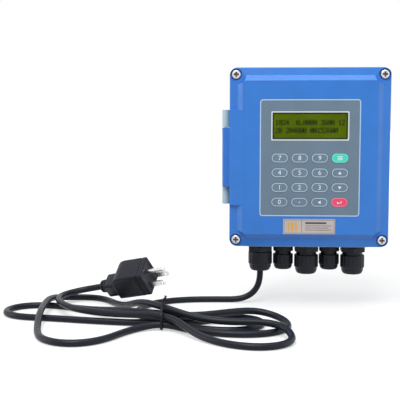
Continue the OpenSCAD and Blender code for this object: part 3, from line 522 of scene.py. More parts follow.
# Plate that carries the pins, behind a groove: place, how much narrower than the block, corner radius
PLATE = (
    (PLATE_X - 1.5, 4, 1.5), (PLATE_X - 0.2, 1.8, 2.0), (PLATE_X + 0.5, 1.8, 2.0),
    (PLATE_X + 0.7, 0.2, 2.4), (PLATE_X + 1.0, 0, 2.5), (FACE_X - 1.2, 0, 2.5),
    (FACE_X - 0.5, 0.5, 2.3), (FACE_X - 0.1, 1.6, 1.9), (FACE_X, 2.6, 1.6), (FACE_X, 6, 1.2),
    (FACE_X - 0.4, 7, 1.0),
)


def add_loft(bm, sections, lift=0):
    """Skins rounded rectangles along the plug: each section is its place, width, height and radius."""
    add_loops(bm, [
        [PLUG_PLACE @ (Vector((x, p[0], p[1] + lift)) * MM) for p in round_rect(w, h, r, 5)]
        for x, w, h, r in sections
    ])


def block_outline(inset):
    """Side view of the main block, drawn in by an inset."""
    low, high = BLOCK_LOW + inset, BLOCK_HIGH - inset
    right = PLATE_X - inset - CORNER_R
    return (
        arc(BLOCK_X + inset + HEEL_R, low + HEEL_R, HEEL_R, 180, 270, 4)
        + arc(right, low + CORNER_R, CORNER_R, 270, 360, 3)
        + arc(right, high - CORNER_R, CORNER_R, 0, 90, 3)
        + arc(BLOCK_X + SHOULDER_R, BLOCK_HIGH - SHOULDER_R, SHOULDER_R - inset, 90, 180, 14)
    )


def add_main_block(bm):
    side = [(x, SIDE_R - z) for z, x in arc(0, BLOCK_HALF_W - SIDE_R, SIDE_R, 0, 90, 6)]
    side += [(BLOCK_HALF_W - sunk, inset) for sunk, inset in SIDE_PANEL]
    add_loops(bm, [
        [PLUG_PLACE @ (Vector((p[0], y, p[1])) * MM) for p in block_outline(inset)]
        for y, inset in [(-y, inset) for y, inset in side[::-1]] + side
    ])


def make_plug():
    bm = bmesh.new()
    add_loft(bm, [(x, w, w, r) for x, w, r in SLEEVE])
    add_loft(bm, NECK, NECK_LIFT)
    add_main_block(bm)
    w, h = 2 * BLOCK_HALF_W, BLOCK_HIGH - BLOCK_LOW
    add_loft(bm, [(x, w - less, h - less, r) for x, less, r in PLATE], (BLOCK_LOW + BLOCK_HIGH) / 2)
    return finish_piece("mains_plug", bm, ("plug_black",), "base", ("plug_body",), 40)


# Tie: a flat band drawn round the bundle, with its ends twisted together on top
TIE_X = -92
TIE_W, TIE_T, TIE_EDGE = 2.4, 1.0, 0.42
TIE_REACH = CORD_DIA / 2 + 0.5 + 0.6
TIE_CORNERS = [Vector(c) for c in ((-102.6, 2), (-123.8, 2), (-123.6, 9.5), (-112.2, 15.9), (-109.8, 16))]
TIE_STEPS = 180
TWIST_L, TWIST_SINK, TWIST_TURNS, TWIST_STEPS = 9, 0.4, 2.25, 36
TWIST_R, STRAND_R = 0.75, 0.62
TWIST_LEAN = Vector((0.35, -0.55, 0.76)).normalized()


def add_tube(bm, line, r, around, look=0):
    """Round tube along a line: each step is a place and the two directions across it."""
    add_loops(bm, [
        [(place + (side * p[0] + other * p[1])) * MM for p in circle(r, around)]
        for place, side, other in line
    ], look)


def make_tie():
    middle = ROUTE_START + Vector((TIE_X, 0, 0))
    hull = []
    for k in range(TIE_STEPS):
        a = 2 * math.pi * k / TIE_STEPS
        way = Vector((math.cos(a), math.sin(a)))
        hull.append((way, max(c.dot(way) for c in TIE_CORNERS) + TIE_REACH))
    path = []
    for (way, reach), (ahead, reach_ahead) in zip(hull, hull[1:] + hull[:1]):
        corner = Vector((reach * ahead.y - reach_ahead * way.y, reach_ahead * way.x - reach * ahead.x))
        corner /= way.x * ahead.y - way.y * ahead.x
        path.append((middle + Vector((0, corner.x, corner.y)), Vector((0, way.x, way.y))))
    along = Vector((1, 0, 0))
    band = round_rect(TIE_T, TIE_W, TIE_EDGE, 3)
    bm = bmesh.new()
    add_loops(bm, [
        [(place + across * p[0] + along * p[1]) * MM for p in band] for place, across in path + [path[0]]
    ], close=False)
    weld(bm)
    top = max((place for place, across in path), key=lambda place: place.z)
    side = TWIST_LEAN.cross(along).normalized()
    other = TWIST_LEAN.cross(side)
    for phase in (0, math.pi):
        strand = []
        for k in range(TWIST_STEPS + 1):
            t = k / TWIST_STEPS
            a = phase + 2 * math.pi * TWIST_TURNS * t
            offset = (side * math.cos(a) + other * math.sin(a)) * TWIST_R
            strand.append((top + TWIST_LEAN * (TWIST_L * t - TWIST_SINK) + offset, side, other))
        add_tube(bm, strand, STRAND_R, 8)
    return finish_piece("bundle_tie", bm, ("tie_black",), "base", ("cord_tie",), 50)


mains_plug = make_plug()
bundle_tie = make_tie()

# Lid: depths from the wall and sizes on the front, as in the part's source
overlay = solid_of("keypad_overlay")
PANEL = overlay.far
SEAM = 36
SEAM_CHAMFER, WALL_BREAK = 0.3, 7
RIM = 51
RIM_FALL = 1.4
CASE_W, CASE_H, CASE_R = 160, 180, 8
EDGE_RISE, EDGE_INSET = 1.5, 0.85
PANEL_X, PANEL_Z = 67, 77
SLOPE = 5
CREST_R, FOOT_R = 1.5, 1.2
SCREW_X, SCREW_Z = 73.25, 83
POCKET_R = 5.75
# A screw's pocket at its mouth: how much wider, and how far under the rim
POCKET_LIP = ((0.12, 0), (0.04, 0.05), (0, 0.3))
OVERLAY_GAP, OVERLAY_R = 0.05, 3
# The overlay's recess at its edge, likewise
RECESS_LIP = ((0.15, 0), (0.03, 0.05), (0.0, 0.25))
CORNER_CUT_R, CORNER_CUT_GROWTH = 10.2, 0.1
CORNER_FILLET = 0.5
HINGE_X, HINGE_DEPTH = -84, 33
HINGE_H, KNUCKLE_H, KNUCKLE_R = 96, 60, 3.7
ARM_RISE, ARM_R = 8, 2.6
# Panel beside the hinge, seen along the hinge: places across and depths, from its foot round to its foot
HINGE_PANEL = (
    (-CASE_W / 2, RIM - 1.5), (-CASE_W / 2, 52.1), (-CASE_W / 2 + 0.12, 52.4), (-CASE_W / 2 + 0.45, 52.62),
    (-PANEL_X - 1.2, PANEL - 0.32), (-PANEL_X - 0.2, PANEL - 0.08), (-PANEL_X + 0.9, PANEL + 0.01),
    (-PANEL_X + 2.5, PANEL - 0.4), (-PANEL_X + 2.5, RIM - 1.5),
)


def panel_outline(out):
    """Raised panel at one level of its slope: straight sides, and a round hollow about each lid screw."""
    cut = CORNER_CUT_R - CORNER_CUT_GROWTH * out
    reach = cut + CORNER_FILLET
    side_x = PANEL_X + out - CORNER_FILLET
    side_z = SCREW_Z - math.sqrt(reach ** 2 - (SCREW_X - side_x) ** 2)
    end_z = PANEL_Z + out - CORNER_FILLET
    end_x = SCREW_X - math.sqrt(reach ** 2 - (SCREW_Z - end_z) ** 2)
    low = math.degrees(math.atan2(side_z - SCREW_Z, side_x - SCREW_X)) % 360
    high = math.degrees(math.atan2(end_z - SCREW_Z, end_x - SCREW_X)) % 360
    corner = arc(side_x, side_z, CORNER_FILLET, 0, low - 180, 5)
    corner += arc(SCREW_X, SCREW_Z, cut, low, high, 14)[1:-1]
    corner += arc(end_x, end_z, CORNER_FILLET, high - 180, 90, 5)
    points = []
    for sx, sz in ((1, 1), (-1, 1), (-1, -1), (1, -1)):
        turned = [(x * sx, z * sz) for x, z in corner]
        points += turned if sx * sz > 0 else turned[::-1]
    return points


def slope_profile():
    """How far out of the panel's outline, and at which depth, from the panel over its slope to the rim."""
    start = -CREST_R * math.tan(math.radians(22.5))
    finish = SLOPE + FOOT_R * math.tan(math.radians(22.5))
    profile = []
    for a in (0, 11, 22, 34, 45):
        turn = math.radians(a)
        profile.append((start + CREST_R * math.sin(turn), PANEL - CREST_R * (1 - math.cos(turn))))
    for a in (45, 30, 15, 0):
        turn = math.radians(a)
        profile.append((finish - FOOT_R * math.sin(turn), RIM + FOOT_R * (1 - math.cos(turn))))
    return profile


def fill_between(bm, rings):
    """Fills the flat space between closed rings of vertices."""
    edges = [bm.edges.get(pair) for ring in rings for pair in zip(ring, ring[1:] + ring[:1])]
    bmesh.ops.triangle_fill(bm, edges=edges, use_beauty=True, use_dissolve=False, normal=(0, -1, 0))


def rim_fall(x, z):
    """How far the rim has fallen at a point, as it slopes a little towards the lid's edge."""
    out = max((abs(x) - PANEL_X - SLOPE) / (CASE_W / 2 - PANEL_X - SLOPE),
              (abs(z) - PANEL_Z - SLOPE) / (CASE_H / 2 - PANEL_Z - SLOPE), 0)
    return RIM_FALL * min(out, 1)


def add_lid_front(bm):
    """The lid's outer side: wall, rim, slopes and panel, with soft edges."""
    wall = [(SEAM, SEAM_CHAMFER), (SEAM + SEAM_CHAMFER, 0), (SEAM + WALL_BREAK, 0)]
    for a in (0, 18, 36, 54, 72):
        turn = math.radians(a)
        depth = RIM - RIM_FALL - EDGE_RISE * (1 - math.sin(turn))
        wall.append((depth, EDGE_INSET * (1 - math.cos(turn))))
    wall.append((RIM, EDGE_INSET))
    rim_outer = add_levels(bm, 0, 0, [
        (round_rect(CASE_W - 2 * inset, CASE_H - 2 * inset, CASE_R - inset, 10), depth)
        for depth, inset in wall
    ], close=False)[-1]
    slopes = add_levels(bm, 0, 0, [
        (panel_outline(out), depth) for out, depth in slope_profile()
    ], close=False)
    pockets = [
        add_levels(bm, sx * SCREW_X, sz * SCREW_Z, [
            (circle(POCKET_R + wider, 48), RIM - under) for wider, under in POCKET_LIP
        ], close=False)
        for sx in (-1, 1) for sz in (-1, 1)
    ]
    fill_between(bm, [rim_outer, slopes[-1]] + [rings[0] for rings in pockets])
    for vert in rim_outer + [vert for rings in pockets for ring in rings for vert in ring]:
        vert.co.y += rim_fall(vert.co.x / MM, vert.co.z / MM) * MM
    w, h = overlay.w + 2 * OVERLAY_GAP, overlay.h + 2 * OVERLAY_GAP
    recess = add_levels(bm, 0, 0, [
        (round_rect(w + 2 * wider, h + 2 * wider, OVERLAY_R + wider), PANEL - under)
        for wider, under in RECESS_LIP
    ], close=False)
    fill_between(bm, [slopes[0], recess[0]])


def both_ends(half, steps):
    """Places along a length with the same ends: each step is its distance in from the end, and a value."""
    lower = [(inward - half, value) for inward, value in steps]
    return lower + [(-place, value) for place, value in lower[::-1]]


def add_lid_hinge(bm):
    """Panel running out to the edge beside the hinge, and the knuckle with its arm."""
    add_loops(bm, [
        [front(x, z, max(depth - inset, RIM - 1.5)) for x, depth in HINGE_PANEL]
        for z, inset in both_ends(HINGE_H / 2, ((0, 0.6), (0.18, 0.18), (0.6, 0)))
    ])
    wall = -CASE_W / 2
    arm = HINGE_DEPTH + ARM_RISE
    section = [(wall + 0.5, SEAM + 0.4), (wall - 0.3, SEAM + 0.2), (wall - 0.3, HINGE_DEPTH)]
    section += arc(HINGE_X, HINGE_DEPTH, KNUCKLE_R, 0, -180, 12)
    section += arc(HINGE_X - KNUCKLE_R + ARM_R, arm - ARM_R, ARM_R, 180, 90, 6)
    section += [(wall - 0.6, arm), (wall + 0.5, arm + 0.5)]
    mid_x, mid_depth = HINGE_X + 2, HINGE_DEPTH + 3
    add_loops(bm, [
        [front(mid_x + (x - mid_x) * scale, z, mid_depth + (depth - mid_depth) * scale)
         for x, depth in section]
        for z, scale in both_ends(KNUCKLE_H / 2, ((0, 0.93), (0.12, 0.98), (0.5, 1)))
    ])


def is_lid_inside(face):
    """True for the faces of the part's lid that stay: all but the outer side, which is drawn anew."""
    centre = face.calc_center_median() / MM
    depth = -centre.y
    in_overlay = abs(centre.x) < overlay.high.x + 0.2 and abs(centre.z) < overlay.high.z + 0.2
    by_knuckle = depth < HINGE_DEPTH + ARM_RISE + 0.5 and abs(centre.z) < KNUCKLE_H / 2 + 1
    if centre.x < -CASE_W / 2 + 0.01 and by_knuckle:
        return False
    outward = face.normal.y < -0.3 or centre.x < -PANEL_X - SLOPE + 0.5
    if depth > RIM - 0.6 and not in_overlay and outward:
        return False
    corner_x = abs(centre.x) - (CASE_W / 2 - CASE_R)
    corner_z = abs(centre.z) - (CASE_H / 2 - CASE_R)
    if corner_x > 0 and corner_z > 0:
        return math.hypot(corner_x, corner_z) < CASE_R - 0.06
    return max(abs(centre.x) - CASE_W / 2, abs(centre.z) - CASE_H / 2) < -0.02


def make_lid():
    bm = mesh_of("lid_shell")
    bmesh.ops.delete(bm, geom=[f for f in bm.faces if not is_lid_inside(f)], context="FACES")
    finish_piece("lid_inside", bm, ("lid_blue",), "lid", ("lid_shell",))
    bm = bmesh.new()
    add_lid_front(bm)
    add_lid_hinge(bm)
    weigh_normals(finish_piece("lid_cover", bm, ("lid_blue",), "lid", sharp=30))


def is_base_outside(edge):
    """True for the edges round the back and under the shelf."""
    xs, ys, zs = zip(*(v.co / MM for v in edge.verts))
    round_back = min(abs(x) for x in xs) > CASE_W / 2 - 10 or max(abs(z) for z in zs) > CASE_H / 2 - 10
    return min(ys) > -0.1 and round_back or max(zs) < -CASE_H / 2 - 0.5


make_lid()
add_rounded_copy("base_shell", "base_case", 0.6, 3, "case_grey", is_base_outside)


# Keypad: borders, window frame, keys and their marks

MARKS = {
    "key_menu": [bar(5, 0.7, 0, 1.5), bar(5, 0.7), bar(5, 0.7, 0, -1.5)],
    "key_up": [[(-1.7, -1.2), (1.7, -1.2), (0, 1.6)]],
    "key_down": [[(-1.7, 1.2), (0, -1.6), (1.7, 1.2)]],
    "key_left": [[(1.3, -1.7), (1.3, 1.7), (-1.6, 0)]],
    "key_dot": [circle(0.6, 12)],
    "key_enter": [
        bar(3.6, 0.7, 0.4, -0.6), bar(0.7, 2.0, 1.85, 0.4), [(-1.2, -1.9), (-1.2, 0.7), (-2.8, -0.6)]
    ],
}
DIGIT_SIZE = 6.4
MARK_UNDER = 0.02
STEM_R = 1.8
# A key's side, outline and face: how far in from its edge, and how far under its top
KEY_SIDE = ((0, 0.6), (0, 0.3), (0.12, 0.14), (0.3, 0.08))
KEY_OUTLINE = ((0.3, 0.08), (0.5, 0.04), (0.92, 0.05))
KEY_FACE = ((0.92, 0.05), (1.1, 0.12), (2.2, 0.09), (3.6, 0.06))


def add_text(bm, text, size, x, z, depth, look):
    """Digits of the built-in typeface, lying flat on the front."""
    data = bpy.data.curves.new("digits", "FONT")
    data.body = text
    data.size = size * MM
    data.align_x = "CENTER"
    data.align_y = "CENTER"
    holder = new_object("digits", data)
    bpy.context.view_layer.update()
    flat = holder.evaluated_get(bpy.context.evaluated_depsgraph_get()).to_mesh()
    verts = [bm.verts.new(front(x, z, depth) + Vector((v.co.x, 0, v.co.y))) for v in flat.vertices]
    for polygon in flat.polygons:
        bm.faces.new([verts[k] for k in polygon.vertices]).material_index = look
    bpy.data.objects.remove(holder)
    bpy.data.curves.remove(data)


def make_key(node, slot):
    s = solid_of(node)
    bm = bmesh.new()

    def add_part(steps, look):
        return add_levels(bm, s.x, s.z, [
            (stadium(s.w - 2 * inset, s.h - 2 * inset), s.far - under) for inset, under in steps
        ], look, close=False)

    bm.faces.new(add_part(KEY_SIDE, 0)[0])
    add_part(KEY_OUTLINE, 1)
    bm.faces.new(add_part(KEY_FACE, 0)[-1])
    weld(bm)
    for outline in MARKS.get(node, ()):
        add_shape(bm, outline, s.x, s.z, s.far - MARK_UNDER, 2)
    if node not in MARKS:
        add_text(bm, node[-1], DIGIT_SIZE, s.x, s.z, s.far - MARK_UNDER, 2)
    add_turned(bm, s.x, s.z, ((STEM_R, s.near), (STEM_R, s.far - KEY_SIDE[0][1])), 0, 18)
    finish_piece(node + "_cap", bm, (slot, slot + "_edge", "print_white"), node + "_cap", (node,))


def make_border(name, node, look, outer, inner, rise):
    """Printed line round a piece: its outer and inner outline each say how much wider, and the radius."""
    s = solid_of(node)
    outlines = [round_rect(s.w + wider, s.h + wider, r) for wider, r in (outer, inner)]
    bm = bmesh.new()
    add_frame(bm, *outlines, s.x, s.z, PANEL, PANEL + rise)
    finish_piece(name, bm, (look,), "lid")


for subpart in frame["record"]["subparts"]:
    if subpart["node"].startswith("key_") and subpart["node"] != "key_switches":
        make_key(subpart["node"], subpart["material_slot"])
make_border("overlay_border", "keypad_overlay", "print_border", (-0.2, 2.9), (-2.0, 2.1), 0.04)
make_border("window_border", "lcd_window", "print_cream", (2.8, 1.1), (0.4, 0.9), 0.06)

# Dot-matrix characters of the display: seven rows of five dots
DOTS = {
    "0": "01110 10001 10011 10101 11001 10001 01110",
    "1": "00100 01100 00100 00100 00100 00100 01110",
    "2": "01110 10001 00001 00010 00100 01000 11111",
    "3": "11111 00010 00100 00010 00001 10001 01110",
    "4": "00010 00110 01010 10010 11111 00010 00010",
    "5": "11111 10000 11110 00001 00001 10001 01110",
    "6": "00110 01000 10000 11110 10001 10001 01110",
    "7": "11111 00001 00010 00100 01000 01000 01000",
    "8": "01110 10001 10001 01110 10001 10001 01110",
    "9": "01110 10001 10001 01111 00001 00010 01100",
    ".": "00000 00000 00000 00000 00000 01100 01100",
}
LINES = ("1024  0.0000 3600 12", "20 204800 00153600  ")
LINE_LIFTS = (3.4, -4.4)
DIGIT_PITCH = 3.45
DOT_W, DOT_H = 0.62, 0.78
PRINT_T = 0.01


def draw_digits(bm, s):
    dot = bar(DOT_W + 0.3, DOT_H - 0.02)
    for line, lift in zip(LINES, LINE_LIFTS):
        for column, character in enumerate(line):
            left = s.x + (column - len(line) / 2) * DIGIT_PITCH
            for r, row in enumerate(DOTS.get(character, "").split()):
                for c, lit in enumerate(row):
                    if lit == "1":
                        x, z = left + (c + 0.7) * DOT_W, s.z + lift + (3 - r) * DOT_H
                        add_shape(bm, dot, x, z, s.far + PRINT_T, 0)


# Painted shade: a thin dark olive frame just inside the display's edge, where the window's rim shades it
def draw_display_painted_shade(bm, s):
    add_frame(bm, round_rect(s.w - 0.02, s.h - 0.02, 0.4), round_rect(s.w - 2.2, s.h - 2.0, 0.4),
              s.x, s.z, s.far + PRINT_T, s.far + 0.04)


# Label plate: a border, a divider with three bars left of it, and lines to the right

LABEL_PICTURE_W = 18.4
LABEL_BORDER = 2.3


def draw_label(bm, s):
    face, ink = s.far - 0.03, s.far - 0.01
    plate = round_rect(s.w, s.h, 0.8)
    add_levels(bm, s.x, s.z, ((plate, s.far - 0.3), (plate, face)))
    add_frame(bm, round_rect(s.w - 1.6, s.h - 1.6, 0.6),
              round_rect(s.w - LABEL_BORDER, s.h - LABEL_BORDER, 0.5), s.x, s.z, face, ink, 1)
    divider = LABEL_PICTURE_W - s.w / 2
    text_mid = (divider + s.w / 2) / 2
    lines = [bar(0.35, s.h - LABEL_BORDER, divider), bar(21, 1.8, text_mid - 2.5, 3.6)]
    for w, dx, dz in ((26, 0, 0.8), (23, -1.5, -1.3), (26, 0, -3.4)):
        lines.append(bar(w, 0.55, text_mid + dx, dz))
    for outline in lines:
        add_shape(bm, outline, s.x, s.z, ink, 1)
    for dx in (-3.6, 0, 3.6):
        add_shape(bm, bar(2.2, s.h - 6.5, divider / 2 - s.w / 4 + dx), s.x, s.z, ink, 2)


make_piece("display_digits", draw_digits, "lcd_display", ("display_pixel",), "lid",
           stands=False)
make_piece("display_edge", draw_display_painted_shade, "lcd_display", ("display_shaded",), "lid",
           stands=False)
make_piece("label_print", draw_label, "label_plate", ("label_silver", "print_ink", "print_amber"), "lid")


# Cable glands

LARGE_NUT_R = 12
# A nut from its mouth to its open top: share of the radius, share of the height and depth of the grooves
NUT_PROFILE = (
    (0.60, 0.02, 0), (0.64, 0, 0), (0.70, 0.005, 0), (0.755, 0.025, 0), (0.81, 0.065, 0),
    (0.855, 0.115, 0), (0.885, 0.17, 0), (0.905, 0.23, 0), (0.915, 0.29, 0), (0.925, 0.32, 0),
    (0.97, 0.345, 0.3), (1, 0.375, 0.8), (1, 0.42, 1), (1, 0.70, 1), (1, 0.93, 1), (0.99, 0.965, 0.7),
    (0.965, 0.99, 0.2), (0.94, 1, 0),
)
GROOVE = 0.45
NUT_WALL, NUT_FLOOR = 1.8, 4.5
MOUTH_R_CORD, MOUTH_R_SMALL, MOUTH_R_LARGE = 3.9, 3.85, 5.6


def draw_nut(bm, s):
    large = s.r > LARGE_NUT_R
    first = abs(s.x - CABLE_EXIT.x) < 1
    mouth_r = MOUTH_R_CORD if first else MOUTH_R_LARGE if large else MOUTH_R_SMALL
    ribs = 18 if large else 16
    around = ribs * 8
    waves = [0.5 - 0.5 * math.cos(2 * math.pi * ribs * k / around) for k in range(around)]
    bottom, top = s.low.z, s.high.z
    loops = []
    for share_r, share_h, depth in NUT_PROFILE:
        radii = [share_r * s.r - GROOVE * depth * (1 - wave ** 0.35) for wave in waves]
        outline = [(r * x, r * y) for r, (x, y) in zip(radii, circle(1, around))]
        loops.append(on_level(outline, s.x, s.y, bottom + share_h * s.h))
    wall_r, floor = s.r - NUT_WALL, bottom + NUT_FLOOR
    for r, z in ((wall_r, top), (wall_r, floor), (mouth_r, floor), (mouth_r, bottom + 0.4),
                 (mouth_r + 0.4, bottom + 0.05)):
        loops.append(on_level(circle(r, around), s.x, s.y, z))
    add_loops(bm, loops + [loops[0]], close=False)
    weld(bm)


for number in range(1, 6):
    node = f"gland_nut_{number}"
    make_piece(f"gland_cap_{number}", draw_nut, node, ("gland_black",), node + "_body", sharp=50)
add_rounded_copy("gland_bodies", "gland_flanges", 0.4, 2, "gland_black")


# Lid screws with a domed head and a cross recess, whose walls and floor are coloured with painted shade

SHANK_R, HEAD_H = 1.6, 3.0
# The head's edge: share of its radius, and how far under its top
SCREW_DOME = ((1, 1.2), (0.97, 0.75), (0.88, 0.35), (0.72, 0.1), (0.62, 0.02))
# The recess: half the cross's length, half its width, and how far under the top
CROSS = ((2.65, 0.95, 0.02), (2.35, 0.75, 0.9), (1.2, 0.4, 1.7))


def cross_outline(reach, waist, count):
    points = []
    for x, z in circle(1, count):
        long, short = sorted((abs(x), abs(z)), reverse=True)
        radius = min(reach / long, waist / max(short, 1e-6))
        points.append((radius * x, radius * z))
    return points


def draw_screw(bm, s):
    head = [(SHANK_R, s.near), (SHANK_R, s.far - HEAD_H), (s.r, s.far - HEAD_H)]
    head += [(share * s.r, s.far - under) for share, under in SCREW_DOME]
    levels = [(circle(r, 48), depth) for r, depth in head]
    levels += [(cross_outline(reach, waist, 48), s.far - under) for reach, waist, under in CROSS]
    add_levels(bm, s.x, s.z, levels[:len(head) + 1], 0, close=False)
    add_levels(bm, s.x, s.z, levels[len(head):], 1, close=False)
    weld(bm)
    bmesh.ops.holes_fill(bm, edges=[e for e in bm.edges if e.is_boundary], sides=0)


for number in range(1, 5):
    node = f"lid_screw_{number}"
    make_piece(f"lid_screw_head_{number}", draw_screw, node, ("screw_nickel", "recess_painted_shade"),
               node + "_body", sharp=40)


# Inside the case: pieces on the two boards

# A chip's leg: half its width and thickness, and how far its four points stand out of the chip
LEG_HALF_W, LEG_HALF_T = 0.22, 0.09
LEG_OUT = (-0.2, 0.45, 0.7, 1.25)
LEG_LIFT = 0.12
BOARD_HEAD_H, BOARD_SHANK_R = 1.9, 1.25


def add_cross(bm, x, z, length, width, depth, look):
    for w, h in ((length, width), (width, length)):
        add_shape(bm, bar(w, h), x, z, depth, look)


def add_legs(bm, x, z, w, h, base, top, pitch, look):
    """Bent legs along the two long sides of a chip."""
    foot = base + math.copysign(LEG_LIFT, top - base)
    middle = base + (top - base) * 0.45
    length, reach = (w, h / 2) if w >= h else (h, w / 2)
    count = int((length - 0.6) / pitch)
    for side in (-1, 1):
        for k in range(count):
            at = (k - (count - 1) / 2) * pitch
            loops = []
            for out, depth in zip(LEG_OUT, (middle, middle, foot, foot)):
                loop = []
                for da, dd in bar(2 * LEG_HALF_W, 2 * LEG_HALF_T):
                    a, b = at + da, side * (reach + out)
                    dx, dz = (a, b) if w >= h else (b, a)
                    loop.append(front(x + dx, z + dz, depth + dd))
                loops.append(loop)
            add_loops(bm, loops, look)


def add_cross_head(bm, x, z, r, seat, top, looks=(0, 1)):
    """Domed screw head with a cross drawn into its top: a flat cross of painted shade where the recess
    would be.
    """
    rise = top - seat
    add_turned(bm, x, z, (
        (r, seat), (r, seat + rise * 0.4), (r * 0.9, seat + rise * 0.75), (r * 0.7, seat + rise * 0.95),
        (r * 0.55, top),
    ), looks[0], 32)
    add_cross(bm, x, z, r, r * 0.26, top + math.copysign(0.015, rise), looks[1])


def draw_board_screw(bm, s, outward):
    shank, top = (s.near, s.far) if outward else (s.far, s.near)
    seat = top + math.copysign(BOARD_HEAD_H, shank - top)
    add_turned(bm, s.x, s.z, ((BOARD_SHANK_R, shank), (BOARD_SHANK_R, seat)), 0, 20)
    add_cross_head(bm, s.x, s.z, s.r, seat, top)


# Transformer: iron core with its winding through it, as in the part's source
CORE_W, CORE_H = 42, 30
COIL_W, COIL_H, COIL_LIFT = 26, 44, 2.5
CORE_SCREW_IN, CORE_SCREW_R = 3.2, 1.9
FLANGE_T, FLANGE_OUT = 1.0, 1.8
TAG_PITCH, TAG_R = 6, 0.5


def draw_core(bm, s):
    add_block(bm, s.x, s.z, CORE_W, CORE_H, s.near, s.far - 0.8, 0.5, 0.35)
    seat, top = s.far - 0.9, s.far - 0.03
    for sx in (-1, 1):
        for sz in (-1, 1):
            x, z = sx * (CORE_W / 2 - CORE_SCREW_IN), sz * (CORE_H / 2 - CORE_SCREW_IN)
            add_cross_head(bm, s.x + x, s.z + z, CORE_SCREW_R, seat, top, (1, 2))


def draw_winding(bm, s):
    low, high = s.near + COIL_LIFT, s.far - COIL_LIFT
    add_block(bm, s.x, s.z, COIL_W - 1, COIL_H - 0.2, low, high, 3.5, 2.5)
    for side in (-1, 1):
        for at in (CORE_H / 2 + 0.5, COIL_H / 2 - 0.8):
            add_block(bm, s.x, s.z + side * at, COIL_W, FLANGE_T, low - FLANGE_OUT, high + FLANGE_OUT,
                      0.4, 0.3, 1)
        for k in range(4):
            add_turned(bm, s.x + (k - 1.5) * TAG_PITCH, s.z + side * (COIL_H / 2 - 2.6),
                       ((TAG_R, s.near), (TAG_R, s.near + 4)), 2, 10)


# Round forms: how much narrower than the piece each step is, and how far it lies from the end
CAN_FOOT = ((0.5, 0), (0.1, 0.15), (0, 0.5), (0, 1.8), (0.45, 2.3), (0.45, 2.7), (0, 3.2))
CAN_TOP = ((0, -0.9), (0.12, -0.4), (0.5, -0.06), (1.0, -0.02), (1.05, -0.25))
CAN_LID = ((1.0, -0.6), (1.0, -0.2), (1.2, -0.15))
FUSE_CAP = ((0.8, 0), (0.3, 0.08), (0, 0.45), (0, 5.15), (0.12, 5.4), (0.5, 5.5))
CELL_EDGE = ((0, 0.5), (0.15, 0.15), (0.5, 0), (1.2, 0), (1.35, 0.12), (1.6, 0.12), (1.75, 0))
CAN_STRIPE_TURN = (-118, -86)


def steps_from(end, r, steps):
    return [(r - less, end + on) for less, on in steps]


def draw_capacitor(bm, s):
    can = steps_from(s.near, s.r, CAN_FOOT) + steps_from(s.far, s.r, CAN_TOP)
    add_turned(bm, s.x, s.z, can, 0, 48)
    add_turned(bm, s.x, s.z, steps_from(s.far, s.r, CAN_LID), 1, 48)
    # Vent cross on the can's top: a flat cross of painted shade
    add_cross(bm, s.x, s.z, 5.4, 0.35, s.far - 0.13, 2)
    stripe = arc(0, 0, s.r + 0.02, *CAN_STRIPE_TURN, 8)
    low, high = ([bm.verts.new(p) for p in on_front(stripe, s.x, s.z, depth)]
                 for depth in (s.near + 3.4, s.far - 1.1))
    for k in range(8):
        bm.faces.new((low[k], low[k + 1], high[k + 1], high[k])).material_index = 3


def draw_fuse_caps(bm, s):
    for start, sign in ((s.low.x, 1), (s.high.x, -1)):
        add_turned_x(bm, s.y, s.z, [(s.h / 2 - less, start + sign * on) for less, on in FUSE_CAP])
    add_turned_x(bm, s.y, s.z, ((0.14, s.low.x + 1), (0.14, s.high.x - 1)), 1, 8)


def draw_fuse_tube(bm, s):
    r = s.h / 2 - 0.4
    add_turned_x(bm, s.y, s.z, ((r, s.low.x + 4.5), (r, s.high.x - 4.5)), 0, 32)


def draw_relay(bm, s):
    w, h, base, top = s.w, s.h, s.near, s.far
    add_block(bm, s.x, s.z, w, h, base + 0.4, top - 0.05, 0.9, 0.5)
    add_block(bm, s.x, s.z, w - 0.5, h - 0.5, base, base + 0.8, 0.7, 0.1, 1)
    add_frame(bm, round_rect(w - 3, h - 3, 0.6), round_rect(w - 3.5, h - 3.5, 0.5), s.x, s.z,
              top - 0.1, top, 2)
    for dz in (2, 0, -2):
        add_shape(bm, bar(w - 8, 0.45, 0, dz), s.x, s.z, top - 0.03, 2)


WAY_GAP = 0.14
WELL_R, WELL_T = 1.6, 4


def add_terminal_way(bm, x, s, w):
    """One way of a terminal block: its housing with a screw in a well, and a wire hole below. The screw's
    slot and the wire hole are flat faces of painted shade.
    """
    outline = round_rect(w - WAY_GAP, s.h, 0.25, 5)
    raised = round_rect(w - WAY_GAP, s.h - 2.6, 0.25, 5)
    top, floor = s.far, s.far - WELL_T
    levels = [(outline, s.near), (outline, top - 4.2), (raised, top - 3.2), (raised, top - 0.25),
              ([(p[0] * 0.96, p[1] * 0.98) for p in raised], top)]
    turns = [math.atan2(p[1] / s.h, p[0] / w) for p in outline]
    for r, depth in ((WELL_R + 0.1, top), (WELL_R, top - 0.15), (WELL_R, floor)):
        levels.append(([(min(r, w / 2 - 0.2) * math.cos(a), r * math.sin(a)) for a in turns], depth))
    add_levels(bm, x, s.z, levels)
    add_turned(bm, x, s.z, ((1.4, floor), (1.4, floor + 1.3), (1.15, floor + 1.6)), 1, 20)
    add_shape(bm, bar(0.4, 2.3), x, s.z, floor + 1.62, 2)
    hole = round_rect(w - 1.4, 3.4, 0.3, 2)
    add_face(bm, [front(x + p[0], s.low.z - 0.02, s.near + 4 + p[1]) for p in hole], 2)


def draw_ways(bm, s, ways):
    for k in range(ways):
        add_terminal_way(bm, s.low.x + (k + 0.5) * s.w / ways, s, s.w / ways)


HEADER_WALL = 0.8
HEADER_PITCH, HEADER_ROW = 2.54, 1.1
HEADER_PIN_W = 0.6


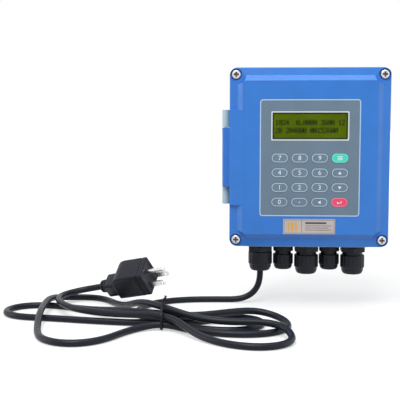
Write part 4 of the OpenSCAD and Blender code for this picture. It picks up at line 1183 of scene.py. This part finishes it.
def draw_header(bm, s):
    """Open socket with two rows of pins, on the board behind it."""
    base, top = s.far, s.near
    add_levels(bm, s.x, s.z, [
        (round_rect(s.w - 2 * inset, s.h - 2 * inset, 0.3, 2), depth) for depth, inset in (
            (base, 0), (top + 0.2, 0), (top, 0.2), (top, HEADER_WALL - 0.1), (top + 0.1, HEADER_WALL),
            (base - 1.0, HEADER_WALL),
        )
    ], 1)
    count = int((max(s.w, s.h) - 3) / HEADER_PITCH)
    for k in range(count):
        for row in (-HEADER_ROW, HEADER_ROW):
            at = (k - (count - 1) / 2) * HEADER_PITCH
            dx, dz = (at, row) if s.w >= s.h else (row, at)
            add_block(bm, s.x + dx, s.z + dz, HEADER_PIN_W, HEADER_PIN_W, base, top + 0.8, 0.08, 0.1, 2)


def draw_main_board_part(bm, s):
    """Header, crystal or chip, told apart by their height. They stand on the board's inner side."""
    base, top = s.far, s.near
    if base - top > 5:
        draw_header(bm, s)
    elif base - top > 2.5:
        add_block(bm, s.x, s.z, s.w, s.h, base, top, 1.6, 0.5, 3)
    else:
        add_block(bm, s.x, s.z, s.w, s.h, base - 0.2, top, 0.2)
        add_legs(bm, s.x, s.z, s.w, s.h, base, top, 1.27, 3)
        if abs(s.w - s.h) < 1:
            add_legs(bm, s.x, s.z, s.w, s.h + 0.01, base, top, 1.27, 3)
        # Pin-one dimple: a flat dot of painted shade
        add_turned(bm, s.low.x + 1.6, s.high.z - 1.6, ((0.5, top + 0.1), (0.5, top - 0.01)), 4, 16)


def draw_cell(bm, s):
    rim = [(s.r - 0.3, s.far), (s.r, s.far - 0.3)]
    add_turned(bm, s.x, s.z, rim + steps_from(s.near, s.r, CELL_EDGE), 0, 64)
    # Plus mark: a flat cross in the dark colour painted as shade in recesses
    add_cross(bm, s.x, s.z, 4.0, 0.7, s.near - 0.01, 1)


# Small parts of the power board, between the transformer and the terminals: places across and up
POWER_CHIPS = ((2, -6, 20), (30, -6, 10), (46, -6, 10))  # with their widths
POWER_CHIP_H = 6.4
RESISTORS = [(-12 + 6 * k, 6) for k in range(4)]
TINY_PARTS = [(-16 + 8 * k + 2 * row, z) for row, z in enumerate((-16, -20)) for k in range(9)]
POWER_CANS = ((22, 6), (36, 6), (50, 6))


def draw_power_board_parts(bm, s):
    board = s.far
    for x, z, w in POWER_CHIPS:
        add_block(bm, x, z, w, POWER_CHIP_H, board + 0.6, board + 3.9, 0.2)
        add_legs(bm, x, z, w, POWER_CHIP_H, board, board + 3.6, 2.54, 2)
        # Pin-one dimple: a flat dot of painted shade
        add_turned(bm, x - w / 2 + 1.3, z, ((0.6, board + 3.8), (0.6, board + 3.92)), 4, 16)
    for x, z in RESISTORS:
        y = -(board + 1.4)
        add_turned_x(bm, y, z, ((0.9, x - 1.9), (1.3, x - 1.6), (1.3, x + 1.6), (0.9, x + 1.9)), 0, 16)
        add_turned_x(bm, y, z, ((1.32, x + 0.8), (1.32, x + 1.3)), 3, 16)
        for end in (x - 2.3, x + 2.3):
            add_turned(bm, end, z, ((0.3, board), (0.3, board + 1.4), (0.2, board + 1.6)), 2, 8)
    for x, z in TINY_PARTS:
        add_block(bm, x, z, 1.9, 1.6, board, board + 0.6, 0.1, 0.08)
        for end in (x - 1.25, x + 1.25):
            add_block(bm, end, z, 0.6, 1.6, board, board + 0.62, 0.1, 0.08, 2)
    for x, z in POWER_CANS:
        add_turned(bm, x, z, (
            (2.4, board), (2.5, board + 0.3), (2.5, board + 6.4), (2.3, board + 6.7), (1.6, board + 6.75)
        ), 1, 28)


# Cord inside the case, as in the part's source: its sheath, and its cores to the terminals and the stud
SHEATH_TOP = -90 + 3 + 4.5 + 2 + 4.5
CORE_R = 0.8
CORE_STEPS = 8


def add_wire(bm, points, look):
    """Round wire on one smooth curve past its points."""
    places = []
    padded = [2 * points[0] - points[1]] + points + [2 * points[-1] - points[-2]]
    for a, b, c, d in zip(padded, padded[1:], padded[2:], padded[3:]):
        for k in range(CORE_STEPS):
            t = k / CORE_STEPS
            places.append(((b * 2) + (c - a) * t + (a * 2 - b * 5 + c * 4 - d) * t ** 2
                           + (b * 3 - a - c * 3 + d) * t ** 3) / 2)
    places.append(points[-1])
    line = []
    side = Vector((0, 1, 0))
    for k, place in enumerate(places):
        way = (places[min(k + 1, len(places) - 1)] - places[max(k - 1, 0)]).normalized()
        side = (side - way * side.dot(way)).normalized()
        line.append((place, side, way.cross(side)))
    add_tube(bm, line, CORE_R, 12, look)


def make_tail():
    bm = bmesh.new()
    r = CORD_DIA / 2
    add_loops(bm, [
        on_level(circle(radius, 32), CABLE_EXIT.x, CABLE_EXIT.y, z) for radius, z in (
            (r, CABLE_EXIT.z), (r, SHEATH_TOP - 0.5), (r - 0.15, SHEATH_TOP - 0.1), (r - 0.6, SHEATH_TOP)
        )
    ])
    start = Vector((CABLE_EXIT.x, CABLE_EXIT.y, SHEATH_TOP - 2))
    block = solid_of("mains_terminal")
    for side, look in ((-1, 1), (1, 2)):
        end = Vector((block.x + side * block.w / 3, -block.near - 4, block.low.z + 1.5))
        add_wire(bm, [
            start + Vector((side * 1.5, 0, 0)), start + Vector((side * 1.8, 0, 6)),
            start.lerp(end, 0.5) + Vector((side * 1.0, -1.0, 0)), end - Vector((0, 0, 8)), end,
        ], look)
    stud = solid_of("earth_stud")
    end = Vector((stud.x, stud.high.y - 5.2, stud.low.z + 1.0))
    add_wire(bm, [
        start + Vector((0, 1.5, 0)), start + Vector((0.3, 1.8, 6)),
        start.lerp(end, 0.5) + Vector((0, 1, 3)), end + Vector((-4, 0, -6)), end,
    ], 3)
    finish_piece("mains_tail_cores", bm, ("cord_black", "core_brown", "core_blue", "core_green"), "base",
                 ("mains_tail",), 50)


SCREW_LOOKS = ("screw_steel", "recess_painted_shade")
CAN_LOOKS = ("part_black", "screw_nickel", "recess_painted_shade", "print_pale")
CHIP_LOOKS = ("part_black", "print_cream", "brass", "screw_steel", "recess_painted_shade")
SMALL_LOOKS = ("part_black", "relay_blue", "screw_steel", "print_pale", "recess_painted_shade")
for board, body, outward in (("power_board", "base", True), ("main_board", "lid", False)):
    make_piece(board + "_screws_heads", lambda bm, s: draw_board_screw(bm, s, outward), board + "_screws",
               SCREW_LOOKS, body, each=True, sharp=40)
make_piece("transformer_core", draw_core, "power_transformer", ("core_iron", *SCREW_LOOKS), "base")
make_piece("transformer_winding", draw_winding, "power_transformer",
           ("winding_tape", "part_black", "screw_steel"), "base", stands=False, sharp=40)
make_piece("capacitor_cans", draw_capacitor, "smoothing_capacitors", CAN_LOOKS, "base", each=True, sharp=40)
make_piece("fuse_caps", draw_fuse_caps, "mains_fuse", ("screw_nickel", "copper"), "base",
           sharp=40)
make_piece("fuse_tube", draw_fuse_tube, "mains_fuse", ("fuse_glass_tube",), "base",
           stands=False)
make_piece("relay_covers", draw_relay, "output_relays", ("relay_blue", "part_black", "print_pale"), "base",
           each=True)
for node, ways in (("mains_terminal", 3), ("signal_terminals", 8)):
    make_piece(node + "_block", lambda bm, s: draw_ways(bm, s, ways), node,
               ("terminal_green", *SCREW_LOOKS), "base", each=True)
make_piece("board_parts", draw_main_board_part, "board_chips", CHIP_LOOKS, "lid", each=True)
make_piece("battery_cell", draw_cell, "clock_battery", ("cell_steel", "recess_painted_shade"), "lid")
make_piece("power_board_parts", draw_power_board_parts, "power_board", SMALL_LOOKS, "base", stands=False)
make_tail()


# Floor, light and background

FLOOR_SIZE = 24
FLOOR_COLOR = (0.52, 0.525, 0.53, 1)
WHITE = (1, 1, 1, 1)
# The floor's own glow grows from near the middle outwards, so that it fades to white
FLOOR_FADE = {"From Min": 0.5, "From Max": 1.6, "To Min": 0.48, "To Max": 1.0}
# Strength of the background: as light on the object, and as seen
WORLD_FADE = {"To Min": 0.45, "To Max": 1.0}
# Lamps: name, place, target, width and height in metres, and power in watts
LAMPS = (
    ("key", (-0.32, -0.95, 1.25), (0, 0, 0), (0.9, 0.9), 18),
    ("fill", (1.6, -1.6, 0.4), (0, 0, -0.05), (1.2, 1.6), 5),
    ("top", (0, -0.15, 1.3), (0, -0.05, 0), (1.6, 0.5), 7),
    ("left", (-1.3, -0.15, 0.05), (0, -0.05, 0), (0.4, 1.2), 4),
    ("right", (1.3, -0.15, 0.15), (0, -0.05, 0), (0.4, 1.0), 2.5),
)


def add_math(tree, operation, first, second):
    node = add_node(tree, "Math", {0: first, 1: second})
    node.operation = operation
    return node.outputs[0]


def background_rays(tree):
    """1 for what the camera, a mirror or glass sees of the background, 0 for light on the object."""
    path = add_node(tree, "LightPath", {}).outputs
    seen = add_math(tree, "MAXIMUM", path["Is Camera Ray"], path["Is Glossy Ray"])
    return add_math(tree, "MAXIMUM", seen, path["Is Transmission Ray"])


def make_stage():
    """Pale floor, which keeps the object's shadow and fades to white further out."""
    bpy.ops.mesh.primitive_plane_add(size=FLOOR_SIZE, location=(0, 0, (CORD_REST - CORD_DIA / 2) * MM))
    floor = bpy.context.object
    floor.name = "floor"
    tree, bsdf = new_material("floor")
    distance = add_node(tree, "VectorMath", {0: add_node(tree, "TexCoord", {}).outputs["Object"]})
    distance.operation = "LENGTH"
    glow = add_node(tree, "MapRange", {"Value": distance.outputs["Value"], **FLOOR_FADE}).outputs["Result"]
    feed(bsdf, {
        "Base Color": FLOOR_COLOR, "Roughness": 0.9, "Specular IOR Level": 0.1, "Emission Color": WHITE,
        "Emission Strength": add_math(tree, "MULTIPLY", glow, background_rays(tree)),
    })
    floor.data.materials.append(LOOKS["floor"])


def make_lamp(name, place, target, size, power):
    data = bpy.data.lights.new(name, "AREA")
    data.shape = "RECTANGLE"
    data.size, data.size_y = size
    data.energy = power
    lamp = new_object(name, data)
    lamp.location = place
    aim(lamp, Vector(target) - Vector(place))


def make_world():
    world = bpy.data.worlds.new("studio")
    bpy.context.scene.world = world
    world.use_nodes = True
    tree = world.node_tree
    strength = add_node(tree, "MapRange", {"Value": background_rays(tree), **WORLD_FADE})
    feed(tree.nodes["Background"], {"Color": WHITE, "Strength": strength.outputs["Result"]})


make_stage()
for lamp in LAMPS:
    make_lamp(*lamp)
make_world()
bpy.context.scene.view_settings.view_transform = "Standard"
